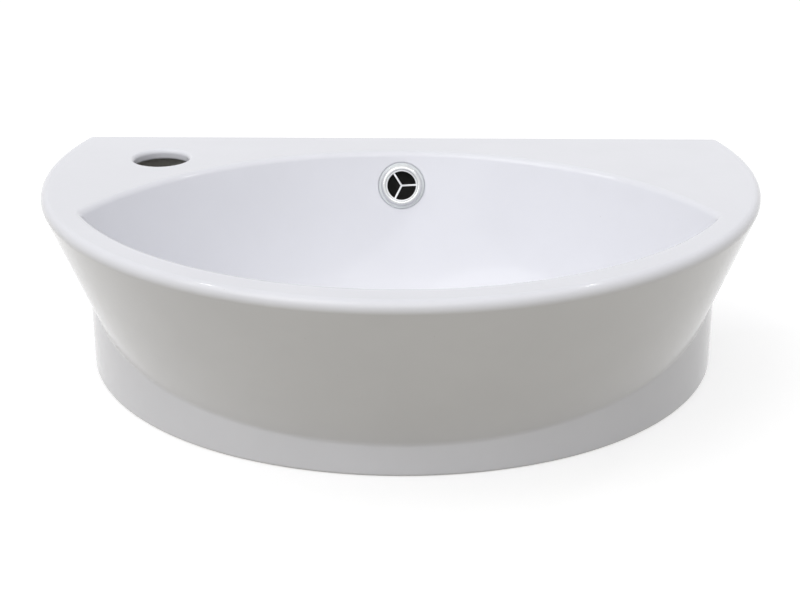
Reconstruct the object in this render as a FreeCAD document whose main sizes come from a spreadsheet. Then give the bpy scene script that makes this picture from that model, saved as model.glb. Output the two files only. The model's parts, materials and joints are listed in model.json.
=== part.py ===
"""Semi recessed basin: a round-fronted glazed basin, its overflow cover and its push-to-close slotted waste.

Heights are counted from the underside of the foot ring and depths from the flat back, and each piece is then
placed so that the origin lies on the back, midway between the two wall-fixing holes. +X is to the right,
+Y into the wall and +Z up. Millimetres.
"""

import FreeCAD, Part
import math
import os

import Sketcher
from FreeCAD import Placement, Rotation, Vector

# Every size that can be set by itself: its cell name, its value and what it is.
SIZES = [
    # The outside of the casting.
    ("rim_width", 450.0, "rim, side to side"),
    ("rim_depth", 300.0, "back to the front of the rim"),
    ("rim_height", 140.0, "foot underside to the top of the rim"),
    ("taper_inset", 34.0, "how much smaller the taper's radius is at the foot's level than at the rim"),
    ("taper_back", 54.0, "how far the taper's centre moves back down to the foot's level"),
    ("foot_inset", 14.6, "sides of the foot ring, in from the rim's"),
    ("foot_setback", 74.2, "front of the foot ring, behind the rim's"),
    ("foot_front_flat", 8.9, "how much larger its front's radius is than half its width"),
    ("foot_side_draw", 5.7, "how much smaller its sides' radius is than half its width"),
    ("foot_drop", 14.0, "rim down to where the foot ring has run out inside the taper"),
    ("junction_fillet", 9.0, "hollow corner between taper and foot ring"),
    ("corner_fillet", 6.0, "upright corners at the back"),
    ("rim_fillet", 5.0, "outer edge of the rim"),
    ("foot_fillet", 2.0, "lower edge of the foot ring"),
    # The bowl.
    ("floor_height", 42.0, "foot underside to the floor of the bowl"),
    ("front_band", 20.0, "rim in front of the opening, in the middle"),
    ("front_arc_inset", 16.0, "how much smaller the radius of the opening's front arc is than the rim's"),
    ("front_draw", 25.5, "how far the front wall closes in, rim to floor"),
    ("front_shift", 35.3, "how far its centre moves back, rim to floor"),
    ("rear_band", 35.8, "deck behind the opening, in the middle"),
    ("rear_arc_inset", 20.0, "how much smaller the radius of the opening's rear arc is than the rim's"),
    ("rear_draw", 33.3, "how far the rear wall closes in, rim to floor"),
    ("floor_span", 70.1, "floor of the bowl, front to back"),
    ("opening_corner", 9.0, "plan radius of the two corners of the opening"),
    ("corner_growth", 14.7, "how much wider the corners get, rim to floor"),
    ("bowl_edge", 5.0, "rounded edge of the opening"),
    # The thickness of the casting.
    ("wall", 11.0, "walls of the casting"),
    ("deck", 14.0, "deck behind the bowl"),
    ("back_wall", 12.0, "flat back"),
    # Holes in the casting.
    ("tap_radius", 17.5, "tap hole"),
    ("tap_margin", 69.0, "tap hole, in from the rim's left"),
    ("tap_back", 51.0, "tap hole, ahead of the back"),
    ("tap_edge", 3.0, "rounded edge of the tap hole"),
    ("tap_land", 7.0, "deck left round the tap hole, for the tap's nut"),
    ("tap_recess", 27.0, "radius of the recess that leaves it, under the deck"),
    ("fixing_radius", 7.0, "wall-fixing holes"),
    ("fixing_span", 200.0, "between the wall-fixing holes"),
    ("fixing_level", 95.0, "height of the wall-fixing holes"),
    # The waste.
    ("waste_back", 2.15, "waste axis, behind the middle of the floor"),
    ("waste_hole", 23.0, "hole through the floor of the bowl"),
    ("recess_radius", 33.5, "recess for the flange"),
    ("recess_depth", 3.5, "recess for the flange"),
    ("boss_radius", 37.0, "thickened floor round the waste"),
    ("boss_level", 4.0, "underside of the thickened floor"),
    ("flange_radius", 32.0, "waste flange"),
    ("flange_thick", 3.0, "waste flange"),
    ("flange_seal_thick", 2.0, "ring under the flange"),
    ("tail_radius", 20.95, "threaded tail over its crests"),
    ("thread_depth", 0.75, "crests of the tail's thread down to its middle, where the nut meets it"),
    ("nut_relief", 0.5, "end of the nut's thread, below the nut"),
    ("tail_bore", 18.0, "inside of the tail"),
    ("tail_end", 27.0, "tail, below the foot's underside"),
    ("neck_radius", 22.6, "thick neck under the flange"),
    ("neck_length", 4.5, "thick neck under the flange"),
    ("neck_cone", 1.5, "cone from the tail out to the neck, along the axis"),
    ("waste_bevel", 1.0, "edges of the flange and end of the tail"),
    ("seat_radius", 24.4, "wide end of the cone that the plug closes on"),
    ("seat_depth", 5.6, "height of that cone"),
    ("slot_width", 24.0, "overflow slots in the tail"),
    ("slot_low", 10.0, "overflow slots, lower end"),
    ("slot_high", 25.0, "overflow slots, upper end"),
    ("bridge_level", 27.5, "underside of the bridge"),
    ("bridge_height", 6.0, "bridge"),
    ("hub_radius", 10.5, "hub of the bridge"),
    ("arm_width", 4.0, "three arms of the bridge"),
    ("nut_flats", 52.0, "backnut across its flats"),
    ("nut_height", 9.0, "backnut"),
    ("nut_face", 26.6, "radius at which the nut's corners start to be turned off"),
    ("nut_corner", 3.5, "how deep they are turned off"),
    ("slip_thick", 2.0, "slip washer"),
    ("slip_radius", 30.0, "slip washer"),
    ("washer_radius", 31.0, "tail washer"),
    ("washer_thick", 5.0, "tail washer"),
    ("washer_spigot", 4.0, "its taper inside the hole"),
    ("spigot_gap", 0.1, "that taper's wide end inside the hole"),
    ("spigot_taper", 0.9, "how much smaller the narrow end is"),
    # The plug and its latch.
    ("plug_travel", 9.0, "open to closed"),
    ("plug_radius", 29.5, "plug"),
    ("plug_gap", 0.7, "closed plug above the flange"),
    ("plug_edge", 1.4, "edge of the plug"),
    ("plug_bevel", 0.6, "lower edge of the plug"),
    ("plug_dome", 140.0, "radius of the plug's domed top"),
    ("plug_boss", 7.0, "boss under the plug"),
    ("plug_boss_length", 7.0, "boss under the plug"),
    ("rib_thick", 2.0, "ring under the plug that carries the seal"),
    ("rib_radius", 19.0, "ring under the plug that carries the seal"),
    ("rib_length", 3.5, "ring under the plug that carries the seal"),
    ("seal_radius", 23.5, "plug seal"),
    ("seal_length", 4.0, "plug seal"),
    ("seal_edge", 1.1, "upright edge of the plug seal"),
    ("seal_thin", 1.2, "thickness of its lower end"),
    ("rod_radius", 3.95, "plunger rod"),
    ("rod_entry", 1.5, "plunger rod, up into the plug"),
    ("rod_bore", 4.0, "guides of the plunger rod"),
    ("collar_radius", 5.1, "collar on the plunger"),
    ("collar_height", 4.0, "collar on the plunger"),
    ("stub_radius", 2.2, "end of the plunger inside the spring"),
    ("stub_length", 5.0, "end of the plunger inside the spring"),
    ("barrel_radius", 7.5, "latch barrel"),
    ("barrel_low", 4.0, "latch barrel, below the foot's underside"),
    ("barrel_bore", 5.2, "inside of the barrel"),
    ("head_radius", 9.5, "head of the barrel"),
    ("head_height", 2.5, "head of the barrel"),
    ("head_bevel", 0.5, "head of the barrel"),
    ("ring_seat_radius", 6.2, "counterbore for the latch ring"),
    ("web_low", 29.9, "underside of the web that guides the rod"),
    ("web_thick", 1.5, "web that guides the rod"),
    ("ring_height", 2.2, "latch ring"),
    ("ring_bore", 4.4, "latch ring"),
    ("ring_slack", 0.3, "latch ring, above and below"),
    ("ring_gap", 0.1, "latch ring, inside its seat"),
    ("bush_height", 2.2, "bush over the latch ring"),
    ("end_height", 3.0, "screw at the bottom of the barrel"),
    ("pin_radius", 0.8, "latch pin"),
    ("pin_tip", 2.9, "tip of the latch pin from the axis"),
    ("pin_inset", 0.2, "outer end of the latch pin, inside the latch ring"),
    ("track_floor", 2.5, "floor of the rod's track from the axis"),
    ("track_width", 2.7, "rod's track"),
    ("track_drift", 0.105, "sideways run of the track per unit of height"),
    ("track_margin", 1.3, "track beyond the pin's centre at each end"),
    ("spring_radius", 3.8, "spring, middle of its wire"),
    ("spring_wire", 1.0, "spring wire"),
    ("spring_turns", 7.0, "turns of the spring"),
    # The overflow cover.
    ("overflow_drop", 21.0, "rim down to the middle of the overflow hole"),
    ("overflow_hole", 12.0, "overflow hole"),
    ("overflow_spot", 15.6, "flat seat round the overflow hole"),
    ("overflow_seat", 1.0, "depth of that flat seat"),
    ("flange_bevel", 0.6, "bevels on the flanges of the collar and the ring"),
    ("collar_flange", 15.0, "pale collar"),
    ("collar_lip", 1.3, "pale collar, on the wall"),
    ("collar_sleeve", 11.9, "pale collar, in the hole"),
    ("collar_depth", 11.0, "pale collar, in the hole"),
    ("ring_flange", 13.5, "bright ring"),
    ("ring_lip", 2.2, "bright ring, on the collar"),
    ("ring_step", 0.5, "upright edge of the bright ring"),
    ("ring_slope", 1.8, "sloping face of the bright ring, across"),
    ("ring_sleeve", 11.25, "bright ring, in the collar"),
    ("ring_depth", 9.5, "bright ring, in the collar"),
    ("grille_radius", 10.5, "dull insert"),
    ("grille_bore", 9.35, "dull insert, open middle"),
    ("grille_depth", 4.0, "dull insert"),
    ("grille_rise", 1.0, "dull insert, above the collar"),
    ("spoke_turn", 3.0, "first spoke, in degrees above the level"),
    ("spoke_drop", 0.3, "spokes, below the insert's rim"),
    ("spoke_width", 1.3, "three spokes"),
    ("spoke_depth", 1.6, "three spokes"),
    # The duct between the overflow hole and the waste hole.
    ("duct_width", 26.0, "inside of the duct, side to side"),
    ("duct_wall", 7.0, "walls of the duct"),
    ("duct_gap", 2.0, "ceramic left between the bowl's wall and the duct, at its top"),
    ("duct_top", 9.0, "duct under the deck, front to back"),
    ("duct_sill", 2.0, "floor of the duct, above the lower end of the waste's slots"),
    ("duct_heel", 42.0, "rear end of that floor, ahead of the duct's top"),
    ("duct_knee", 24.0, "lower bend of the rear side, ahead of the duct's top"),
    ("duct_knee_rise", 22.0, "lower bend of the rear side, above the slots' lower end"),
    ("duct_bend", 8.0, "upper bend of the rear side, ahead of the duct's top"),
    ("duct_bend_rise", 37.0, "upper bend of the rear side, above the slots' upper end"),
    ("duct_brow", 56.0, "rear end of the ceiling, ahead of the duct's top"),
    ("duct_shin", 36.0, "lower bend of the front side, ahead of the duct's top"),
    ("duct_shin_rise", 12.0, "lower bend of the front side, above the slots' upper end"),
    ("duct_chest", 19.0, "upper bend of the front side, ahead of the duct's top"),
    ("duct_chest_rise", 42.0, "upper bend of the front side, above the slots' upper end"),
]

# How far a cut runs on past the face that it starts from or comes out of.
OVERRUN = 5.0

# Levels of the bowl's sections, as shares of its depth. They lie closer where the walls turn into the floor.
SECTION_SHARES = (0.0, 0.15, 0.32, 0.5, 0.66, 0.79, 0.89, 0.95, 0.985, 1.0)

doc = FreeCAD.newDocument("Basin")
sheet = doc.addObject("Spreadsheet::Sheet", "Sizes")
for row, (alias, value, note) in enumerate(SIZES, start=1):
    sheet.set(f"A{row}", note)
    sheet.set(f"B{row}", repr(value))
    sheet.setAlias(f"B{row}", alias)
doc.recompute()


class Size:
    """A length that knows its present value and the expression over the sheet that gives it."""

    def __init__(self, value, text):
        self.value = value
        self.text = text

    def __add__(self, other):
        other = as_size(other)
        return Size(self.value + other.value, f"({self.text} + {other.text})")

    def __sub__(self, other):
        other = as_size(other)
        return Size(self.value - other.value, f"({self.text} - {other.text})")

    def __mul__(self, other):
        other = as_size(other)
        return Size(self.value * other.value, f"({self.text} * {other.text})")

    def __truediv__(self, other):
        other = as_size(other)
        return Size(self.value / other.value, f"({self.text} / {other.text})")

    def __neg__(self):
        return Size(-self.value, f"(-{self.text})")

    def __radd__(self, other):
        return as_size(other) + self

    def __rsub__(self, other):
        return as_size(other) - self

    def __rmul__(self, other):
        return as_size(other) * self


def root(amount):
    return Size(amount.value**0.5, f"sqrt({amount.text})")


def slant(slope):
    """The angle in degrees whose tangent is slope."""
    return Size(math.degrees(math.atan(slope.value)), f"(atan({slope.text}) / 1 deg)")


def as_size(number):
    if isinstance(number, Size):
        return number
    return Size(float(number), f"{float(number):.6f}")


def size(alias):
    return Size(float(sheet.get(alias)), f"Sizes.{alias}")


def new_body(label):
    body = doc.addObject("PartDesign::Body", label)
    body.Label = label
    return body


def sketch_on(body, name, plane, level=0, turn=0.0):
    """A sketch on one of the body's own planes, moved along its normal by level and turned in its plane."""
    sketch = body.newObject("Sketcher::SketchObject", name)
    sketch.AttachmentSupport = [(next(f for f in body.Origin.OriginFeatures if f.Role == plane), "")]
    sketch.MapMode = "FlatFace"
    sketch.AttachmentOffset = Placement(Vector(0, 0, as_size(level).value), Rotation(Vector(0, 0, 1), turn))
    if isinstance(level, Size):
        sketch.setExpression("AttachmentOffset.Base.z", level.text)
    return sketch


def bind(sketch, constraint, amount):
    index = sketch.addConstraint(constraint)
    if isinstance(amount, Size):
        sketch.setExpression(f"Constraints[{index}]", amount.text)


def hold_along(sketch, kind, axis, geometry, point, amount):
    """Holds one coordinate of a point at an amount from the sketch's origin."""
    value = as_size(amount).value
    if abs(value) < 1e-9:
        sketch.addConstraint(Sketcher.Constraint("PointOnObject", geometry, point, axis))
    elif value > 0:
        bind(sketch, Sketcher.Constraint(kind, -1, 1, geometry, point, value), amount)
    else:
        bind(sketch, Sketcher.Constraint(kind, geometry, point, -1, 1, -value), -as_size(amount))


def hold_point(sketch, geometry, point, across, up):
    hold_along(sketch, "DistanceX", -2, geometry, point, across)
    hold_along(sketch, "DistanceY", -1, geometry, point, up)


def add_circle(sketch, radius, across=0, up=0):
    centre = Vector(as_size(across).value, as_size(up).value, 0)
    index = sketch.addGeometry(Part.Circle(centre, Vector(0, 0, 1), as_size(radius).value))
    bind(sketch, Sketcher.Constraint("Radius", index, as_size(radius).value), radius)
    if abs(centre.x) < 1e-9 and abs(centre.y) < 1e-9:
        sketch.addConstraint(Sketcher.Constraint("Coincident", index, 3, -1, 1))
    else:
        hold_point(sketch, index, 3, across, up)
    return index


def add_outline(sketch, points):
    """A closed outline of straight edges through the given points, each held at its own two distances."""
    spots = [Vector(as_size(a).value, as_size(b).value, 0) for a, b in points]
    first = sketch.GeometryCount
    for index, spot in enumerate(spots):
        sketch.addGeometry(Part.LineSegment(spot, spots[(index + 1) % len(spots)]))
    for index, (across, up) in enumerate(points):
        following = first + (index + 1) % len(points)
        sketch.addConstraint(Sketcher.Constraint("Coincident", first + index, 2, following, 1))
        hold_point(sketch, first + index, 1, across, up)


def add_box_outline(sketch, low, high):
    add_outline(sketch, [low, (high[0], low[1]), high, (low[0], high[1])])


def checked(feature, what):
    """Recomputes and makes sure that a feature has made a valid solid."""
    doc.recompute()
    shape = feature.Shape
    if shape.isNull() or not shape.isValid() or not shape.Solids:
        raise RuntimeError(f"{what} has no valid solid: {feature.State}")
    return feature


def add_length_feature(body, kind, name, sketch, length, reverse=False, both_ways=False):
    feature = body.newObject(kind, name)
    feature.Profile = sketch
    feature.Length = as_size(length).value
    if isinstance(length, Size):
        feature.setExpression("Length", length.text)
    feature.SideType = "Symmetric" if both_ways else "One side"
    feature.Reversed = reverse
    return checked(feature, name)


def pad(body, name, sketch, length, reverse=False, both_ways=False):
    return add_length_feature(body, "PartDesign::Pad", name, sketch, length, reverse, both_ways)


def pocket(body, name, sketch, length, reverse=False, both_ways=False):
    """Cuts, and makes sure that something was cut."""
    before = body.Shape.Volume
    feature = add_length_feature(body, "PartDesign::Pocket", name, sketch, length, reverse, both_ways)
    if not feature.Shape.Volume < before - 0.01:
        raise RuntimeError(f"{name} cuts nothing")
    return feature


def loft(body, kind, name, sketches):
    feature = body.newObject(kind, name)
    feature.Profile = sketches[0]
    feature.Sections = sketches[1:]
    feature.Ruled = False
    return checked(feature, name)


def revolve(body, kind, name, sketch):
    feature = body.newObject(kind, name)
    feature.Profile = sketch
    feature.ReferenceAxis = (sketch, ["V_Axis"])
    feature.Angle = 360.0
    return checked(feature, name)


def fillet(body, name, radius, chosen):
    """Rounds the edges of the body that the function chosen picks out."""
    base = body.Tip
    names = [f"Edge{n}" for n, edge in enumerate(base.Shape.Edges, start=1) if chosen(edge)]
    if not names:
        raise RuntimeError(f"{name} finds no edge")
    feature = body.newObject("PartDesign::Fillet", name)
    feature.Base = (base, names)
    feature.setExpression("Radius", radius.text)
    return checked(feature, name)


def at_level(edge, level):
    return all(abs(vertex.Z - level) < 0.01 for vertex in edge.Vertexes)


def turned(label, profile):
    """A body turned about the Z axis from a profile of (radius, height) points."""
    body = new_body(label)
    sketch = sketch_on(body, f"{label}_profile", "XZ_Plane")
    add_outline(sketch, profile)
    revolve(body, "PartDesign::Revolution", f"{label}_turned", sketch)
    return body


def place(body, ahead=0):
    """Puts a finished upright piece in the object's frame, at a distance ahead of the back."""
    drop = -size("fixing_level")
    body.Placement = Placement(Vector(0, -as_size(ahead).value, drop.value), Rotation())
    body.setExpression("Placement.Base.z", drop.text)
    body.setExpression("Placement.Base.y", (-as_size(ahead)).text)
    return body


# Shared levels and positions.
rim_radius = size("rim_width") / 2
rim_centre = size("rim_depth") - rim_radius
side_slope = size("taper_inset") / size("rim_height")
front_slope = side_slope + size("taper_back") / size("rim_height")
foot_radius = rim_radius - size("foot_inset")
foot_front = size("rim_depth") - size("foot_setback")
foot_front_radius = foot_radius + size("foot_front_flat")
foot_side_radius = foot_radius - size("foot_side_draw")
foot_front_centre = foot_front - foot_front_radius
foot_step = foot_front_radius - foot_side_radius
foot_side_ahead = root(foot_step * foot_step - size("foot_side_draw") * size("foot_side_draw"))
foot_side_centre = foot_front_centre + foot_side_ahead
front_arc_radius = rim_radius - size("front_arc_inset")
front_arc_centre = size("rim_depth") - size("front_band") - front_arc_radius
rear_arc_radius = rim_radius - size("rear_arc_inset")
rear_arc_centre = size("rear_band") + rear_arc_radius
opening_span = size("rim_depth") - size("front_band") - size("rear_band")
wall_runs = size("front_draw") + size("front_shift") + size("rear_draw")
floor_draw = (opening_span - wall_runs - size("floor_span")) / 2
floor_back = size("rear_band") + size("rear_draw") + floor_draw
waste_ahead = floor_back + size("floor_span") / 2 - size("waste_back")
tap_side = rim_radius - size("tap_margin")
bowl_depth = size("rim_height") - size("floor_height")
recess_level = size("floor_height") - size("recess_depth")
flange_low = recess_level + size("flange_seal_thick")
flange_top = flange_low + size("flange_thick")
bridge_top = size("bridge_level") + size("bridge_height")
plug_low = flange_top + size("plug_gap") + size("plug_travel")
collar_top = size("web_low") - size("ring_slack")
web_top = size("web_low") + size("web_thick")
ring_low = web_top + size("ring_slack")
ring_top = ring_low + size("ring_height")
ring_middle = ring_low + size("ring_height") / 2
ring_radius = size("ring_seat_radius") - size("ring_gap")
bush_low = ring_top + size("ring_slack")
head_top = bridge_top + size("head_height")
rod_top = plug_low + size("rod_entry")
rear_slope = size("rear_draw") / bowl_depth
overflow_lean = slant(rear_slope)
overflow_level = size("rim_height") - size("overflow_drop")
overflow_ahead = size("rear_band") + rear_slope * size("overflow_drop")


def floor_turn(share):
    """How far the walls have turned into the floor: not at all at the rim, level with it at the bottom."""
    return 1 - (1 - share**6) ** 0.5


def opening_section(body, name, share, grow, top):
    """One level of the bowl: a front and a rear arc, joined by two corner arcs that run out of them smoothly.

    Going down, both arcs draw in, the front one's centre also moves back, and near the floor both draw in
    faster. grow widens the section all round, for the outside of the bowl's wall. The sections start at top.
    """
    close = floor_draw * floor_turn(share)
    front_radius = front_arc_radius - size("front_draw") * share - close + grow
    front_centre = front_arc_centre - size("front_shift") * share
    rear_radius = rear_arc_radius - size("rear_draw") * share - close + grow
    corner = size("opening_corner") + size("corner_growth") * share + grow
    sketch = sketch_on(body, name, "XY_Plane", top - bowl_depth * share)

    front, rear, small = front_radius.value, rear_radius.value, corner.value
    front_y, rear_y = -front_centre.value, -rear_arc_centre.value
    # The corner circle touches both big circles from inside.
    gap = front_y - rear_y
    along = ((front - small) ** 2 - (rear - small) ** 2 + gap**2) / (2 * gap)
    corner_x = ((front - small) ** 2 - along**2) ** 0.5
    corner_y = front_y - along
    centres = [Vector(0, front_y, 0), Vector(corner_x, corner_y, 0), Vector(0, rear_y, 0)]
    centres.append(Vector(-corner_x, corner_y, 0))

    def touch(big, radius, side):
        way = Vector(side * corner_x, corner_y, 0) - big
        return big + way.normalize() * radius

    spots = [
        touch(centres[0], front, -1),
        touch(centres[0], front, 1),
        touch(centres[2], rear, 1),
        touch(centres[2], rear, -1),
    ]
    middles = [
        Vector(0, front_y - front, 0),
        centres[1] + Vector(small, 0, 0),
        Vector(0, rear_y + rear, 0),
        centres[3] - Vector(small, 0, 0),
    ]
    for index in range(4):
        arc = Part.Arc(spots[index], middles[index], spots[(index + 1) % 4])
        sketch.addGeometry(arc)
    # Each arc keeps its turning sense counter-clockwise, so it starts where the one before it ends.
    for index in range(4):
        sketch.addConstraint(Sketcher.Constraint("Tangent", index, 2, (index + 1) % 4, 1))
    hold_point(sketch, 0, 3, 0, -front_centre)
    hold_point(sketch, 2, 3, 0, -rear_arc_centre)
    bind(sketch, Sketcher.Constraint("Radius", 0, front), front_radius)
    bind(sketch, Sketcher.Constraint("Radius", 2, rear), rear_radius)
    bind(sketch, Sketcher.Constraint("Radius", 1, small), corner)
    bind(sketch, Sketcher.Constraint("Radius", 3, small), corner)
    return sketch


def back_trimmed_circle(body, name, radius, centre_ahead, cut_ahead, level):
    """A circle ahead of the back, with what lies behind cut_ahead taken off by a straight chord."""
    sketch = sketch_on(body, name, "XY_Plane", level)
    reach = as_size(radius).value
    centre_y = -as_size(centre_ahead).value
    chord_y = -as_size(cut_ahead).value
    half = (reach**2 - (chord_y - centre_y) ** 2) ** 0.5
    left, right = Vector(-half, chord_y, 0), Vector(half, chord_y, 0)
    sketch.addGeometry(Part.Arc(left, Vector(0, centre_y - reach, 0), right))
    sketch.addGeometry(Part.LineSegment(right, left))
    sketch.addConstraint(Sketcher.Constraint("Coincident", 0, 2, 1, 1))
    sketch.addConstraint(Sketcher.Constraint("Coincident", 1, 2, 0, 1))
    sketch.addConstraint(Sketcher.Constraint("Horizontal", 1))
    bind(sketch, Sketcher.Constraint("Radius", 0, reach), radius)
    hold_point(sketch, 0, 3, 0, -as_size(centre_ahead))
    hold_along(sketch, "DistanceY", -1, 1, 1, -as_size(cut_ahead))
    return sketch


def foot_plan(body):
    """The foot ring from above: a wide front arc that runs smoothly into a tighter arc at each side."""
    sketch = sketch_on(body, "foot_plan", "XY_Plane")
    front, side = foot_front_radius.value, foot_side_radius.value
    middle = Vector(0, -foot_front_centre.value, 0)
    across, ahead = size("foot_side_draw").value, foot_side_centre.value
    behind = rim_radius.value / 2
    reach = (side**2 - (behind + ahead) ** 2) ** 0.5 + across

    def touch(hand):
        way = Vector(hand * across, -ahead, 0) - middle
        return middle + way.normalize() * front

    left, right = Vector(-reach, behind, 0), Vector(reach, behind, 0)
    sketch.addGeometry(Part.Arc(left, Vector(-across - side, -ahead, 0), touch(-1)))
    sketch.addGeometry(Part.Arc(touch(-1), Vector(0, -foot_front.value, 0), touch(1)))
    sketch.addGeometry(Part.Arc(touch(1), Vector(across + side, -ahead, 0), right))
    sketch.addGeometry(Part.LineSegment(right, left))
    sketch.addConstraint(Sketcher.Constraint("Tangent", 0, 2, 1, 1))
    sketch.addConstraint(Sketcher.Constraint("Tangent", 1, 2, 2, 1))
    sketch.addConstraint(Sketcher.Constraint("Coincident", 2, 2, 3, 1))
    sketch.addConstraint(Sketcher.Constraint("Coincident", 3, 2, 0, 1))
    sketch.addConstraint(Sketcher.Constraint("Horizontal", 3))
    hold_point(sketch, 1, 3, 0, -foot_front_centre)
    hold_point(sketch, 2, 3, size("foot_side_draw"), -foot_side_centre)
    hold_along(sketch, "DistanceX", -2, 0, 3, -size("foot_side_draw"))
    bind(sketch, Sketcher.Constraint("Radius", 1, front), foot_front_radius)
    hold_along(sketch, "DistanceY", -1, 3, 1, rim_radius / 2)
    return sketch


def lost_to_rounding(slope):
    """How far the rim's rounding draws in an edge whose wall leans out by slope."""
    return size("rim_fillet") * (root(slope * slope + 1) + slope - 1)


def shape_outside(body):
    """The tapered front over the upright foot ring, with a flat back and rounded edges."""
    # The taper runs out a little wider than the rim, by what the rounding of its edge takes off again.
    sharp_radius = rim_radius + lost_to_rounding(side_slope)
    sharp_centre = size("rim_depth") + lost_to_rounding(front_slope) - sharp_radius
    # The circles are turned so that their joins lie behind the back, where they are cut away.
    foot = sketch_on(body, "taper_foot", "XY_Plane", turn=90.0)
    add_circle(foot, rim_radius - size("taper_inset"), size("taper_back") - rim_centre, 0)
    rim = sketch_on(body, "taper_rim", "XY_Plane", size("rim_height"), turn=90.0)
    add_circle(rim, sharp_radius, -sharp_centre, 0)
    loft(body, "PartDesign::AdditiveLoft", "taper", [foot, rim])

    pad(body, "foot_ring", foot_plan(body), size("rim_height") - size("foot_drop"))

    behind = sketch_on(body, "behind_plan", "XY_Plane")
    add_box_outline(behind, (-rim_radius, 0), (rim_radius, rim_radius * 1.1))
    pocket(body, "flat_back", behind, size("rim_height"), reverse=True)

    top = size("rim_height").value

    def is_junction(edge):
        """Where the taper meets the foot ring: a long edge that rises, below the rim and ahead of the back."""
        box = edge.BoundBox
        between = box.ZMax < top - 1 and box.YMin < -1 and box.ZMin > 1
        return between and box.ZLength > 1 and box.XLength > 1

    fillet(body, "junction_round", size("junction_fillet"), is_junction)

    def is_back_corner(edge):
        box = edge.BoundBox
        return box.YMin > -0.01 and box.XLength < 15 and box.ZLength > 5

    fillet(body, "back_corners", size("corner_fillet"), is_back_corner)
    fillet(body, "rim_round", size("rim_fillet"), lambda edge: at_level(edge, top))
    fillet(body, "foot_round", size("foot_fillet"), lambda edge: at_level(edge, 0))


def hollow_underside(body):
    """The space under the deck and round the bowl, open below."""
    wall = size("wall")
    deck_low = size("rim_height") - size("deck")
    centre = foot_front - foot_radius
    ring = back_trimmed_circle(body, "hollow_plan", foot_radius - wall, centre, size("back_wall"), 0)
    pocket(body, "hollow", ring, deck_low, reverse=True)


def build_bowl(body):
    """The bowl's wall in the hollow, the duct and the boss on it, and the bowl itself cut out of them."""
    wall = size("wall")
    shell_top = size("rim_height") - size("rim_fillet") * 2
    shell = [
        opening_section(body, f"shell_{n}", share, wall, shell_top)
        for n, share in enumerate(SECTION_SHARES)
    ]
    loft(body, "PartDesign::AdditiveLoft", "bowl_wall", shell)

    boss = sketch_on(body, "boss_plan", "XY_Plane", size("boss_level"))
    add_circle(boss, size("boss_radius"), 0, -waste_ahead)
    pad(body, "waste_boss", boss, size("floor_height") - size("boss_level"))

    duct_block = sketch_on(body, "duct_block_side", "YZ_Plane")
    add_outline(duct_block, duct_outline(size("duct_wall")))
    pad(body, "duct_block", duct_block, size("duct_width") + size("duct_wall") * 2, both_ways=True)

    cavity = [
        opening_section(body, f"bowl_{n}", share, 0, size("rim_height"))
        for n, share in enumerate(SECTION_SHARES)
    ]
    before = body.Shape.Volume
    loft(body, "PartDesign::SubtractiveLoft", "bowl", cavity)
    if not body.Shape.Volume < before - 1000:
        raise RuntimeError("bowl cuts nothing")


def duct_outline(wall):
    """Side view of the duct: down behind the bowl's rear wall, then forward under its floor to the waste.

    wall thickens it on the side away from the bowl; the bowl's own wall closes the other side.
    """
    wall = as_size(wall)
    top = size("rim_height") - size("deck")
    mouth = size("waste_hole") / 2 - waste_ahead
    front = size("wall") + size("duct_gap") - overflow_ahead
    low, high = size("slot_low"), size("slot_high")
    sill = low + size("duct_sill") - wall
    return [
        (front, top),
        (front + size("duct_top") + wall * 0.3, top),
        (front - size("duct_bend") + wall, high + size("duct_bend_rise")),
        (front - size("duct_knee") + wall, low + size("duct_knee_rise") - wall * 0.5),
        (front - size("duct_heel") + wall * 0.5, sill),
        (mouth, sill),
        (mouth, high),
        (front - size("duct_brow"), high),
        (front - size("duct_shin"), high + size("duct_shin_rise")),
        (front - size("duct_chest"), high + size("duct_chest_rise")),
    ]


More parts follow.
